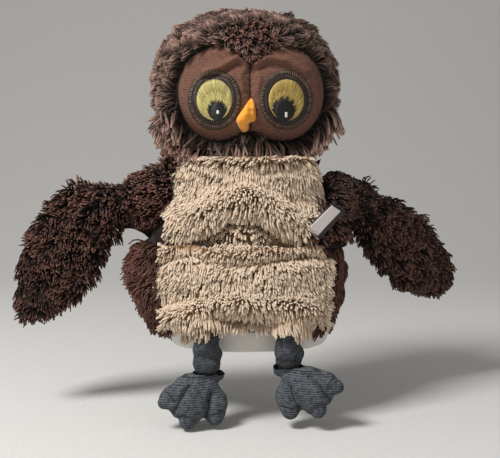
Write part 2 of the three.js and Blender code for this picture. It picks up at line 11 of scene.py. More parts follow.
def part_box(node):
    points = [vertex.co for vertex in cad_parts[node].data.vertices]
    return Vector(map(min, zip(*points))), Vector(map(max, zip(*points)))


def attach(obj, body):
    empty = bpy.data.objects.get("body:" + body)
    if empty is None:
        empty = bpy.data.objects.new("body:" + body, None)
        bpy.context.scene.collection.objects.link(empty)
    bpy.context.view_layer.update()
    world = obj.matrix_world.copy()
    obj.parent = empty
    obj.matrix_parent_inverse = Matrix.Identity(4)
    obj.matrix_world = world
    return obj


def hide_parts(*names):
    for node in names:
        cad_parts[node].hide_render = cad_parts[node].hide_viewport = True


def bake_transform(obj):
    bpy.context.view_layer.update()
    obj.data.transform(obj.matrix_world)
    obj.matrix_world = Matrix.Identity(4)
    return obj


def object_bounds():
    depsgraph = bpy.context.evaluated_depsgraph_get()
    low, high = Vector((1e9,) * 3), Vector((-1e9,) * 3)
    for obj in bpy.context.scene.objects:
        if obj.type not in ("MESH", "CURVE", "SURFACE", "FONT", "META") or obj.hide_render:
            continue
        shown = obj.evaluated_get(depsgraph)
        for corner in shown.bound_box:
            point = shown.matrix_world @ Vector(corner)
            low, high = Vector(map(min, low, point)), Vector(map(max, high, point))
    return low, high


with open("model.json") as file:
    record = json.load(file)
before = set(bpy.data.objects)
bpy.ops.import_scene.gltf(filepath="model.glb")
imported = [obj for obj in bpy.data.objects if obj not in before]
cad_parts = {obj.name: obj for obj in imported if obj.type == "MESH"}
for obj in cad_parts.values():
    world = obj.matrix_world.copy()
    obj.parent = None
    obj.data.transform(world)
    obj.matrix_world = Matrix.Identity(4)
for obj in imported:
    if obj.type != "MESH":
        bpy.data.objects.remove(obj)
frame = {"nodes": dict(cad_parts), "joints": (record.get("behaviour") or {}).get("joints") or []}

bl_info = {
    "name": "Owl Hand Puppet",
    "version": (1, 0, 0),
    "blender": (4, 5, 0),
    "location": "View3D > Sidebar > Owl",
    "description": "Dresses the owl hand puppet's frame in plush, embroidery and knit",
    "category": "Object",
}

MM = 0.001
CAD_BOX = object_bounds()
SIDES = (("left", 1), ("right", -1))  # the owl's own sides and their sign along X

# Places that come from the frame, in millimetres
PIVOT = {joint["name"]: np.array(joint["pos_m"]) / MM for joint in frame["joints"]}
AXIS = {joint["name"]: np.array(joint["axis"]) for joint in frame["joints"]}


def node_box(*nodes):
    """Lowest and highest corner of some nodes together, in millimetres."""
    boxes = [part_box(name) for name in nodes]
    low = np.min([np.array(b[0]) for b in boxes], axis=0) / MM
    high = np.max([np.array(b[1]) for b in boxes], axis=0) / MM
    return low, high


HEAD_LOW, HEAD_HIGH = node_box("head_cover_front", "head_cover_back")
HEAD_HALF_HEIGHT = 56.5  # of the whole form, whose lower end is cut off at the collar
HEAD_HALF = np.append((HEAD_HIGH - HEAD_LOW)[:2] / 2, HEAD_HALF_HEIGHT)
HEAD_MIDDLE = np.array([0.0, 0.0, HEAD_HIGH[2] - HEAD_HALF[2]])
HEAD_FULLNESS = 2.4  # 2 is an ellipsoid, more is boxier
COLLAR_LOW, COLLAR_HIGH = node_box("neck_collar")
COLLAR_RADIUS = (COLLAR_HIGH - COLLAR_LOW)[0] / 2
COLLAR_HEIGHT = PIVOT["head_turn"][2]
WAIST = PIVOT["waist_fold"][2]
LEG_X = PIVOT["leg_left_swing"][0]
BODY_TOP = 134.0
CHEST_TOP = 145.0  # rim of the chest under the head
CHEST_LOW = 83.0  # lowest roots of the chest's pile
BELLY_HEIGHT = 55.0
LEG_BULGE = 26.0  # height of the belly's bulges over the legs
HEM = np.array([128.0, 84.0]) / 2  # half width and half depth of the glove, here and below
BELLY = np.array([166.0, 98.0]) / 2
NECK = np.array([92.0, 68.0]) / 2
FRONT_SPAN = 60.0  # degrees from the front to the side seam
CHEST_SPAN = 78.0  # the same at the chest's top corners
GUSSET_SPAN = 120.0  # degrees from the front to the gusset's back edge
ARMHOLE_RADIUS = 11.0
SHOULDER_PILE = {"left": (84.0, 121.0), "right": (102.0, 145.0)}  # heights of the pile around the armholes
WEB_TOP = 106.0  # the underarm cloth's upper end at the glove's side
WEB_LENGTH = 28.0  # the underarm cloth's length down the glove's side
HEM_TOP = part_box("hem_band")[1].z / MM
LINING_INSET = 10.8  # lining under the CAD surface
CREAM_DEPTH = 5.0  # cream backing under the CAD surface
BACK_DEPTH = 6.0  # brown backing under the CAD surface
GUSSET_DEPTH = 3.0  # gusset under the CAD surface

# Thickness of each cloth, in millimetres
PLUSH_THICK = 2.0
FACE_THICK = 2.2
GUSSET_THICK = 1.6
WEB_THICK = 1.2
COTTON_THICK = 1.0
SATIN_THICK = 0.5
PAPER_THICK = 0.25


def linear(code):
    """An sRGB hex colour as linear red, green and blue."""
    values = [int(code[i : i + 2], 16) / 255 for i in (1, 3, 5)]
    return tuple(v / 12.92 if v <= 0.04045 else ((v + 0.055) / 1.055) ** 2.4 for v in values)


def size(name, millimetres, text):
    """A length that a user may change."""
    return bpy.props.FloatProperty(
        name=name, description=text, default=millimetres * MM, min=0, subtype="DISTANCE", unit="LENGTH"
    )


def amount(name, value, text, top=1.0):
    """A plain number that a user may change."""
    return bpy.props.FloatProperty(name=name, description=text, default=value, min=0, max=top)


def colour(name, code, text):
    """A colour that a user may change."""
    return bpy.props.FloatVectorProperty(
        name=name, description=text, default=linear(code), size=3, min=0, max=1, subtype="COLOR"
    )


class OwlColours(bpy.types.PropertyGroup):
    """Colours of the puppet's cloths and threads."""

    # Each pile's root colour is painted shade between the strands; its paler tip colour carries a painted
    # highlight over the strands' own colour
    cream_root_shade: colour("Cream root", "#a98765", "Cream pile where it leaves the backing")
    cream_tip: colour("Cream tip", "#e8d4bd", "Cream pile at its tips")
    head_root: colour("Head root", "#150b07", "Head pile where it leaves the backing")
    head_tip: colour("Head tip", "#cfa796", "Head pile at its tips")
    body_root: colour("Body root", "#24140e", "Brown pile of the glove's back, at its roots")
    body_tip: colour("Body tip", "#82594b", "Brown pile of the glove's back, at its tips")
    wing_root: colour("Wing root", "#080302", "Wing pile where it leaves the backing")
    wing_tip: colour("Wing tip", "#976b5d", "Wing pile at its tips")
    face: colour("Face", "#6c4a3c", "Brushed face cloth")
    gusset: colour("Gusset", "#1f130f", "Smooth cloth under the wings")
    ring: colour("Eye ring", "#2b1c14", "Embroidered ring around the eye")
    edge: colour("Ring edge", "#6f5644", "Zigzag stitches on the ring's edge")
    iris_left: colour("Left iris", "#bb9f52", "Satin stitch of the owl's left eye")
    iris_right: colour("Right iris", "#bcae6a", "Satin stitch of the owl's right eye")
    pupil: colour("Pupil", "#0b0a0a", "Satin stitch of the pupil")
    glint: colour("Glint", "#f4f2ec", "White stitches of the eye's highlight")
    beak: colour("Beak", "#f0a034", "Orange suede of the beak")
    knit: colour("Knit", "#4a4e53", "Heathered knit of legs and feet")
    cotton: colour("Cotton", "#e6e2da", "Lining and hem")
    satin: colour("Satin", "#2b2a2c", "Sewn label")
    paper: colour("Paper", "#e4dbda", "Blank sticker on the label")
    fleece: colour("Fleece", "#d6d4d0", "Floor and backdrop")


class OwlPile(bpy.types.PropertyGroup):
    """Strand sizes of each plush."""

    cream_length: size("Cream length", 8.5, "Length of a cream strand")
    cream_width: size("Cream width", 1.35, "Thickness of a cream strand")
    head_length: size("Head length", 10, "Length of a head strand")
    head_width: size("Head width", 0.74, "Thickness of a head strand")
    body_length: size("Body length", 11, "Length of a back strand")
    body_width: size("Body width", 1.3, "Thickness of a back strand")
    fringe_length: size("Fringe length", 21, "Length of a strand in the fringe under the face")
    fringe_width: size("Fringe width", 1.5, "Thickness of a strand in the fringe under the face")
    wing_length: size("Wing length", 11, "Length of a wing strand")
    wing_width: size("Wing width", 1.25, "Thickness of a wing strand")
    cover: amount("Cover", 1.0, "Share of the strands that are grown", 2.0)


class OwlFace(bpy.types.PropertyGroup):
    """Sizes of the face and its embroidery."""

    lobe_x: size("Lobe offset", 23, "Middle of a face lobe from the face's middle")
    lobe_width: size("Lobe width", 61.5, "Width of a face lobe")
    lobe_height: size("Lobe height", 68.5, "Height of a face lobe")
    eye_x: size("Eye offset", 26, "Middle of an eye from the face's middle")
    ring_width: size("Ring width", 39, "Width of the eye's embroidered ring")
    ring_height: size("Ring height", 43, "Height of the eye's embroidered ring")
    iris_width: size("Iris width", 25.5, "Width of the iris")
    iris_height: size("Iris height", 29, "Height of the iris")
    thread: size("Thread", 0.75, "Thickness of the embroidery thread")


# Materials


def add(tree, kind, settings=None, values=None, links=None, stops=()):
    """Adds a node with its settings, socket values, links from other sockets and, for a ramp, its stops."""
    made = tree.nodes.new(kind)
    for key, value in (settings or {}).items():
        setattr(made, key, value)
    for key, value in (values or {}).items():
        made.inputs[key].default_value = value
    for key, socket in (links or {}).items():
        tree.links.new(socket, made.inputs[key])
    if stops:
        elements = made.color_ramp.elements
        while len(elements) < len(stops):
            elements.new(0.5)
        for element, (place, tint) in zip(elements, stops):
            element.position = place
            element.color = (*tint, 1)
    return made


def new_material(name, roughness, sheen=0.0, specular=0.3):
    """A material with one plain shader; the caller links its colour and bump."""
    made = bpy.data.materials.new(name)
    made.use_nodes = True
    made.node_tree.nodes.clear()
    values = {"Roughness": roughness, "Sheen Weight": sheen, "Sheen Roughness": 0.5}
    values["Specular IOR Level"] = specular
    shader = add(made.node_tree, "ShaderNodeBsdfPrincipled", values=values)
    add(made.node_tree, "ShaderNodeOutputMaterial", links={"Surface": shader.outputs[0]})
    return made, made.node_tree, shader


def shade(tint, factor):
    """A linear colour made darker or lighter."""
    return tuple(min(1.0, c * factor) for c in tint)


def pile_material(name, root, tip, spread, late=0.5):
    """Spun polyester strands: matte, darker at the root with painted shade and paler at the tip with painted
    highlight, each a little lighter or darker than the next.
    """
    made, tree, shader = new_material(name, 0.85, sheen=0.05, specular=0.2)
    rise = add(tree, "ShaderNodeAttribute", {"attribute_name": "rise"})
    tint = add(tree, "ShaderNodeAttribute", {"attribute_name": "tint"})
    # The ramp runs from painted shade at the root to a painted highlight at the tip
    middle = tuple(a + (b - a) * 0.75 * (1 - late) for a, b in zip(root, tip))
    stops = [(0.0, root), (late, middle), (1.0, tip)]
    along = add(tree, "ShaderNodeValToRGB", links={"Fac": rise.outputs["Fac"]}, stops=stops)
    stops = [(0.0, (1 - spread,) * 3), (1.0, (1.0,) * 3)]
    strand = add(tree, "ShaderNodeValToRGB", links={"Fac": tint.outputs["Fac"]}, stops=stops)
    settings = {"data_type": "RGBA", "blend_type": "MULTIPLY"}
    links = {6: along.outputs["Color"], 7: strand.outputs["Color"]}
    mixed = add(tree, "ShaderNodeMix", settings, {"Factor": 1.0}, links)
    tree.links.new(mixed.outputs[2], shader.inputs["Base Color"])
    return made


def grainy_material(name, tint, grain_mm=1.2, depth_mm=0.4, spread=0.25, roughness=0.9, sheen=0.2):
    """A cloth whose fibres give a fine irregular grain: mottled colour and a soft bump."""
    made, tree, shader = new_material(name, roughness, sheen)
    place = add(tree, "ShaderNodeTexCoord")
    values = {"Scale": 1 / (grain_mm * MM), "Detail": 3.0}
    grain = add(tree, "ShaderNodeTexNoise", values=values, links={"Vector": place.outputs["Object"]})
    stops = [(0.25, shade(tint, 1 - spread)), (0.75, shade(tint, 1 + spread))]
    mottle = add(tree, "ShaderNodeValToRGB", links={"Fac": grain.outputs["Fac"]}, stops=stops)
    tree.links.new(mottle.outputs["Color"], shader.inputs["Base Color"])
    values = {"Strength": 0.6, "Distance": depth_mm * MM}
    bump = add(tree, "ShaderNodeBump", values=values, links={"Height": grain.outputs["Fac"]})
    tree.links.new(bump.outputs["Normal"], shader.inputs["Normal"])
    return made


def ribbed_material(name, tint, pitch_mm, depth_mm, axis, heather=0.2, roughness=0.9, sheen=0.2):
    """A knitted or twilled cloth: fine ribs across one axis, broken up by the fibres' mottle."""
    made, tree, shader = new_material(name, roughness, sheen)
    place = add(tree, "ShaderNodeTexCoord")
    wave_scale = math.pi / 10 / (pitch_mm * MM)  # the wave texture repeats every pi / 10 at a scale of one
    settings = {"wave_type": "BANDS", "bands_direction": axis, "wave_profile": "SIN"}
    values = {"Scale": wave_scale, "Distortion": 1.4, "Detail": 2.0, "Detail Scale": 1.6}
    ribs = add(tree, "ShaderNodeTexWave", settings, values, {"Vector": place.outputs["Object"]})
    values = {"Scale": 1 / (1.6 * pitch_mm * MM), "Detail": 4.0}
    fibres = add(tree, "ShaderNodeTexNoise", values=values, links={"Vector": place.outputs["Object"]})
    values = {"From Min": 0.3, "From Max": 0.7, "To Max": 0.55}
    flecks = add(tree, "ShaderNodeMapRange", values=values, links={"Value": fibres.outputs["Fac"]})
    links = {0: ribs.outputs["Fac"], 2: flecks.outputs["Result"]}
    mixed = add(tree, "ShaderNodeMath", {"operation": "MULTIPLY_ADD"}, {1: 0.45}, links)
    stops = [(0.1, shade(tint, 1 - heather)), (0.9, shade(tint, 1 + heather))]
    yarn = add(tree, "ShaderNodeValToRGB", links={"Fac": mixed.outputs[0]}, stops=stops)
    tree.links.new(yarn.outputs["Color"], shader.inputs["Base Color"])
    values = {"Strength": 0.7, "Distance": depth_mm * MM}
    bump = add(tree, "ShaderNodeBump", values=values, links={"Height": mixed.outputs[0]})
    tree.links.new(bump.outputs["Normal"], shader.inputs["Normal"])
    return made


def thread_material(name, tint, dark=0.7, light=1.12):
    """Rayon embroidery thread: a soft gloss along each stitch, with stitches of slightly different shade."""
    made, tree, shader = new_material(name, 0.45, sheen=0.1, specular=0.5)
    tone = add(tree, "ShaderNodeAttribute", {"attribute_name": "tint"})
    stops = [(0.0, shade(tint, dark)), (1.0, shade(tint, light))]
    stitch = add(tree, "ShaderNodeValToRGB", links={"Fac": tone.outputs["Fac"]}, stops=stops)
    tree.links.new(stitch.outputs["Color"], shader.inputs["Base Color"])
    return made


# Meshes


def smoothed(mesh):
    """Shades a mesh smooth."""
    mesh.polygons.foreach_set("use_smooth", np.ones(len(mesh.polygons), dtype=bool))


def link(mesh, name, material):
    """Puts a mesh into the scene as a smooth-shaded object."""
    smoothed(mesh)
    made = bpy.data.objects.new(name, mesh)
    bpy.context.scene.collection.objects.link(made)
    mesh.materials.append(material)
    return made


def build(name, points, faces, material):
    """An object from points in millimetres and a list of face arrays, each of one corner count."""
    mesh = bpy.data.meshes.new(name)
    mesh.vertices.add(len(points))
    mesh.vertices.foreach_set("co", (np.asarray(points) * MM).astype(np.float32).ravel())
    corners = np.concatenate([np.asarray(f).ravel() for f in faces])
    counts = np.concatenate([np.full(len(f), np.shape(f)[1]) for f in faces])
    mesh.loops.add(len(corners))
    mesh.loops.foreach_set("vertex_index", corners.astype(np.int32))
    mesh.polygons.add(len(counts))
    starts = np.concatenate([[0], np.cumsum(counts)[:-1]])
    mesh.polygons.foreach_set("loop_start", starts.astype(np.int32))
    mesh.update(calc_edges=True)
    mesh.validate()
    return link(mesh, name, material)


def unit(vectors):
    """Vectors scaled to length one."""
    return vectors / np.maximum(np.linalg.norm(vectors, axis=-1, keepdims=True), 1e-9)


def whole_turn(count):
    """Evenly spread angles of one turn."""
    return np.linspace(0, 2 * np.pi, count, endpoint=False)


def spin(angle):
    """Flat directions at some angles."""
    return np.stack([np.cos(angle), np.sin(angle)], 1)


def grid(columns, rows, ring=False, closed=False):
    """Quads of a grid of points, row by row; ring joins its last column to its first, closed its last row."""
    across = columns if ring else columns + 1
    i, j = np.meshgrid(np.arange(columns), np.arange(rows))
    i, j = i.ravel(), j.ravel()
    right = (i + 1) % across
    up = (j + 1) % rows if closed else j + 1
    return np.stack([j * across + i, j * across + right, up * across + right, up * across + i], 1)


def finished(piece):
    """Applies a piece's modifiers to its mesh."""
    graph = bpy.context.evaluated_depsgraph_get()
    mesh = bpy.data.meshes.new_from_object(piece.evaluated_get(graph))
    piece.modifiers.clear()
    piece.data = mesh
    return piece


def thickened(piece, millimetres):
    """Gives an open sheet its cloth's thickness, inwards."""
    solid = piece.modifiers.new("cloth", "SOLIDIFY")
    solid.thickness = millimetres * MM
    solid.offset = -1
    return finished(piece)


def cloth(piece):
    """Reads a sheet's points and triangles and does nothing more with them."""
    points, _, triangles = arrays(piece)


def soft_copy(name, nodes, material, voxel_mm, smoothing):
    """One closed soft form around some CAD nodes: their solids joined, remeshed and smoothed."""
    points, faces, first = [], [], 0
    for node in nodes:
        mesh = frame["nodes"][node].data
        mesh.calc_loop_triangles()
        points += [v.co / MM for v in mesh.vertices]
        faces += [[first + i for i in t.vertices] for t in mesh.loop_triangles]
        first += len(mesh.vertices)
    made = build(name, np.array(points), [np.array(faces)], material)
    remesh = made.modifiers.new("join", "REMESH")
    remesh.mode = "VOXEL"
    remesh.voxel_size = voxel_mm * MM
    smooth = made.modifiers.new("soften", "SMOOTH")
    smooth.iterations = smoothing
    smooth.factor = 0.5
    finished(made)
    made.data.materials.clear()
    made.data.materials.append(material)
    smoothed(made.data)
    return made


def arrays(piece):
    """A piece's points and normals in millimetres and its triangles."""
    mesh = piece.data
    mesh.calc_loop_triangles()
    points = np.empty(len(mesh.vertices) * 3, np.float32)
    mesh.vertices.foreach_get("co", points)
    normals = np.empty(len(mesh.vertices) * 3, np.float32)
    mesh.vertices.foreach_get("normal", normals)
    triangles = np.empty(len(mesh.loop_triangles) * 3, np.int32)
    mesh.loop_triangles.foreach_get("vertices", triangles)
    return points.reshape(-1, 3) / MM, normals.reshape(-1, 3), triangles.reshape(-1, 3)


def areas_of(points, triangles):
    """Area of each triangle."""
    a, b, c = (points[triangles[:, k]] for k in range(3))
    return np.linalg.norm(np.cross(b - a, c - a), axis=1) / 2


def moved(piece, shift):
    """Moves each point of a piece by shift(points, normals), in millimetres."""
    points, normals, _ = arrays(piece)
    points = points + shift(points, normals)
    piece.data.vertices.foreach_set("co", (points * MM).astype(np.float32).ravel())
    piece.data.update()
    return piece


def scattered(rng, piece, per_square_mm, keep=None):
    """Evenly random places on a piece: points, normals."""
    points, normals, triangles = arrays(piece)
    areas = areas_of(points, triangles)
    count = int(areas.sum() * per_square_mm)
    chosen = np.searchsorted(np.cumsum(areas), rng.random(count) * areas.sum())
    chosen = np.minimum(chosen, len(areas) - 1)
    u, v = rng.random((2, count, 1))
    flip = u + v > 1
    u, v = np.where(flip, 1 - u, u), np.where(flip, 1 - v, v)
    weights = (1 - u - v, u, v)
    place = sum(w * points[triangles[chosen, k]] for k, w in enumerate(weights))
    facing = unit(sum(w * normals[triangles[chosen, k]] for k, w in enumerate(weights)))
    if keep is not None:
        wanted = keep(place, facing)
        place, facing = place[wanted], facing[wanted]
    return place, facing


def tubes(name, paths, radius, profile, sides, material, tint):
    """Closed strands along paths (step, strand, xyz), with rise and tint stored for their material."""
    steps, count = paths.shape[:2]
    way = np.empty_like(paths)
    way[1:-1] = paths[2:] - paths[:-2]
    way[0] = paths[1] - paths[0]
    way[-1] = paths[-1] - paths[-2]
    way = unit(way)
    guide = np.where(np.abs(way[:, :, 2:3]) < 0.8, [[[0.0, 0.0, 1.0]]], [[[1.0, 0.0, 0.0]]])
    first = unit(np.cross(way, guide))
    second = np.cross(way, first)
    angles = 2 * np.pi * np.arange(sides) / sides
    thick = radius[None, :, None, None] * np.asarray(profile)[:, None, None, None]
    around = np.cos(angles)[:, None] * first[:, :, None] + np.sin(angles)[:, None] * second[:, :, None]
    rings = paths[:, :, None] + thick * around
    tips = paths[-1] + way[-1] * radius[:, None] * 0.5
    rings = rings.transpose(1, 0, 2, 3).reshape(count, steps * sides, 3)
    points = np.concatenate([rings, tips[:, None]], 1).reshape(-1, 3)
    size_one = steps * sides + 1
    side_quads = grid(sides, steps - 1, ring=True)
    last = (steps - 1) * sides
    tip_faces = np.array([[last + k, last + (k + 1) % sides, last + sides] for k in range(sides)])
    root_face = np.array([list(range(sides))[::-1]])
    offsets = (np.arange(count) * size_one)[:, None, None]
    faces = [(offsets + part).reshape(-1, part.shape[1]) for part in (side_quads, tip_faces, root_face)]
    made = build(name, points, faces, material)
    rise = np.append(np.repeat(np.linspace(0, 1, steps), sides), 1.0)
    for key, values in (("rise", np.tile(rise, count)), ("tint", np.repeat(tint, size_one))):
        made.data.attributes.new(key, "FLOAT", "POINT").data.foreach_set("value", values.astype(np.float32))
    lay_flat(made, count, size_one, sides, rise)
    return made


def lay_flat(piece, count, size_one, sides, rise):
    """A texture map that gives every strand its own small cell, root to tip."""
    cells = math.ceil(math.sqrt(count))
    corners = np.empty(len(piece.data.loops), np.int32)
    piece.data.loops.foreach_get("vertex_index", corners)
    strand, inside = corners // size_one, corners % size_one
    rim = 0.1  # share of a cell that is left free on each side
    across = rim + (1 - 2 * rim) * (inside % sides) / sides
    along = rim + (1 - 2 * rim) * rise[inside]
    flat = np.stack([(strand % cells + across) / cells, (strand // cells + along) / cells], 1)
    piece.data.uv_layers.new(name="OFBake").data.foreach_set("uv", flat.astype(np.float32).ravel())


def swell(points, size_mm, seed):
    """A smooth random field over space, about -1 to 1, with bumps of one size."""
    rng = np.random.default_rng(seed)
    ways = unit(rng.normal(size=(7, 3))) * 2 * np.pi / size_mm
    phases = rng.uniform(0, 2 * np.pi, 7)
    return np.sin(points @ ways.T + phases).sum(axis=1) / 2.6


def clumped(rng, paths, roots, pull, share, reach_mm):
    """Pulls strands together towards a few of their number, more at the tips."""
    steps, count = paths.shape[:2]
    leaders = rng.choice(count, max(2, int(count * share)), replace=False)
    tree = kdtree.KDTree(len(leaders))
    for k, leader in enumerate(leaders):
        tree.insert(Vector(roots[leader]), k)
    tree.balance()
    nearest = np.array([leaders[tree.find(Vector(p))[1]] for p in roots])
    rise = np.linspace(0, 1, steps)[:, None, None] ** 1.4
    gap = roots - roots[nearest]
    near = np.exp(-((np.linalg.norm(gap, axis=1) / reach_mm) ** 2))[None, :, None]
    target = paths[:, nearest] + gap[None] * 0.35
    return paths + (target - paths) * rise * pull * near


def strand_paths(rng, roots, normals, flow, length, lift, droop, curl, steps):
    """Each strand leaves the cloth, bends over along the flow, sags and curls a little."""
    count = len(roots)
    flow = unit(flow - normals * np.sum(flow * normals, axis=1, keepdims=True))
    side = np.cross(normals, flow)
    flow = unit(flow + side * rng.normal(0, curl, (count, 1)))
    phase = rng.uniform(0, 2 * np.pi, (count, 1))
    pace = rng.uniform(2.0, 5.0, (count, 1))
    lift = np.clip(lift * rng.uniform(0.75, 1.25, count), 0, 0.97)[:, None]
    paths = np.empty((steps + 1, count, 3))
    paths[0] = roots - normals * ROOT_DEPTH
    for k in range(steps):
        t = (k + 0.5) / steps
        heading = normals * lift * (1.15 - 0.75 * t) + flow * (1 - lift) * (0.5 + 0.8 * t)
        heading = heading + side * curl * 0.7 * np.sin(phase + pace * t)
        heading[:, 2] -= droop * t
        paths[k + 1] = paths[k] + unit(heading) * (length / steps)[:, None]
    return paths


NOODLE = (0.85, 1.0, 1.0, 1.0, 0.8)  # strand thickness from root to tip
FINE = (0.9, 1.0, 0.8, 0.3)
ROOT_DEPTH = 0.4  # how far a strand starts under the cloth


def coat_of(kind, **settings):
    """Strand settings of one plush, with its length and width in millimetres from the panel.

    A clump has its pull, the share of strands that lead it and its reach in millimetres.
    """
    sizes = bpy.context.scene.owl_pile
    found = {key: getattr(sizes, f"{kind}_{key}") / MM for key in ("length", "width")}
    return {"profile": NOODLE, "sides": 4, "clump": None, **found, **settings}


def pile(name, rng, skin, material, coat, flow, keep=None, vary=None):
    """Grows a plush's strands on a skin.

    flow(roots) is their way, vary(roots) their share of the length and their lift.
    """
    cover = bpy.context.scene.owl_pile.cover * 1.0
    roots, normals = scattered(rng, skin, coat["density"] * cover, keep)
    count = len(roots)
    share, lift = vary(roots) if vary else (1.0, coat["lift"])
    lengths = coat["length"] * share * rng.uniform(0.75, 1.2, count)
    steps = len(coat["profile"]) - 1
    paths = strand_paths(
        rng, roots, normals, flow(roots), lengths, lift, coat["droop"], coat["curl"], steps
    )
    if coat["clump"]:
        paths = clumped(rng, paths, roots, *coat["clump"])
    radius = coat["width"] / 2 * rng.uniform(0.85, 1.15, count) * 1.0
    tint = np.clip(rng.normal(0.55, 0.2, count) + 0.16 * swell(roots, 14, 5), 0, 1)
    return tubes(name, paths, radius, coat["profile"], coat["sides"], material, tint)


# Shapes of the glove


def girth(z, axis):
    """Half width (axis 0) or half depth (axis 1) of the glove at a height."""
    low = HEM[axis] + (BELLY[axis] - HEM[axis]) * np.sin(np.pi / 2 * np.clip(z / BELLY_HEIGHT, 0, 1))
    rise = np.clip((z - BELLY_HEIGHT) / (BODY_TOP - BELLY_HEIGHT), 0, 1)
    high = NECK[axis] + (BELLY[axis] - NECK[axis]) * np.cos(np.pi / 2 * rise)
    return np.where(z < BELLY_HEIGHT, low, high)


def glove_points(angle, z, inset):
    """Points of the glove by angle from the front (degrees, towards +X), height and depth under the pile."""
    a = np.radians(angle)
    x = (girth(z, 0) - inset) * np.sin(a)
    y = -(girth(z, 1) - inset) * np.cos(a)
    return np.stack([x, y, z * np.ones_like(x)], -1)


def glove_sheet(name, angles, heights, inset, material, drop, columns, rows):
    """A sheet of the glove between two angles and two heights; drop leaves faces out by their middle."""
    angle, z = np.meshgrid(np.linspace(*angles, columns + 1), np.linspace(*heights, rows + 1))
    points = glove_points(angle, z, inset(angle, z)).reshape(-1, 3)
    faces = grid(columns, rows)
    faces = faces[~drop(points[faces].mean(axis=1), angle.ravel()[faces].mean(axis=1))]
    return build(name, points, [faces], material)


def bell(distance, width):
    """A smooth bump of height one."""
    return np.exp(-((distance / width) ** 2))


# Side edges of the cream pile as (z, x) points and lines across the front as (x, z) points, in millimetres
CHEST_EDGES = (((80, -52), (95, -57), (116, -58), (140, -50)), ((80, 42), (95, 48), (122, 53), (140, 46)))
BELLY_EDGES = (((14, -58), (30, -64), (66, -68), (80, -64)), ((14, 52), (30, 57), (60, 59), (80, 54)))
CHEST_FOLD = ((-45, 88), (-30, 96), (-14, 104), (0, 106.5), (10, 103), (20, 96), (34, 88), (48, 84))
BELLY_LIP = ((-72, 69), (-50, 78), (-39, 78), (-20, 71.5), (-6, 72), (23, 75.5), (50, 77), (72, 74))
BELLY_FOOT = ((-60, 12), (-48, 14), (-38, 20), (-30, 24), (-16, 26), (20, 26), (30, 25), (45, 22), (60, 17))
BELLY_CORNER = (-64, 74)  # upper corner where the belly's strands fan out to the owl's right
BELLY_LEDGE = ((-72, 20), (-58, 23), (-44, 29), (-26, 35), (-9, 38), (14, 36.5), (37, 33), (56, 28), (72, 24))


def ease(value):
    """Rises smoothly from 0 to 1."""
    value = np.clip(value, 0, 1)
    return value * value * (3 - 2 * value)


def line(place, points):
    """A line through points, read at some places."""
    return np.interp(place, *np.array(points).T)


def clear_of_collar(points, normals=None):
    """How far the glove's rim stands out to lie in front of the ball that turns in it."""
    ball = np.sqrt(np.maximum(COLLAR_RADIUS**2 - (points[:, 2] - COLLAR_HEIGHT) ** 2, 0))
    rim, gap = 20.0, 1.6  # height of the glove's rim, and its distance from the ball
    ball = ball * (points[:, 2] > BODY_TOP - rim)
    spoke = points * [1, 1, 0]
    reach = np.linalg.norm(spoke, axis=1)
    return spoke / reach[:, None] * np.maximum(ball + gap - reach, 0)[:, None]


def widened(points, normals=None):
    """How far the glove's upper corners stand out to either side, under the head."""
    share, low, rise = 0.2, 112.0, 20.0  # share of the width, and the heights over which it grows
    return points * [1, 0, 0] * share * ease((points[:, 2:] - low) / rise)


def fitted(sheet):
    """Fits a sheet of the glove around the collar and into its upper corners."""
    moved(sheet, clear_of_collar)
    moved(sheet, widened)


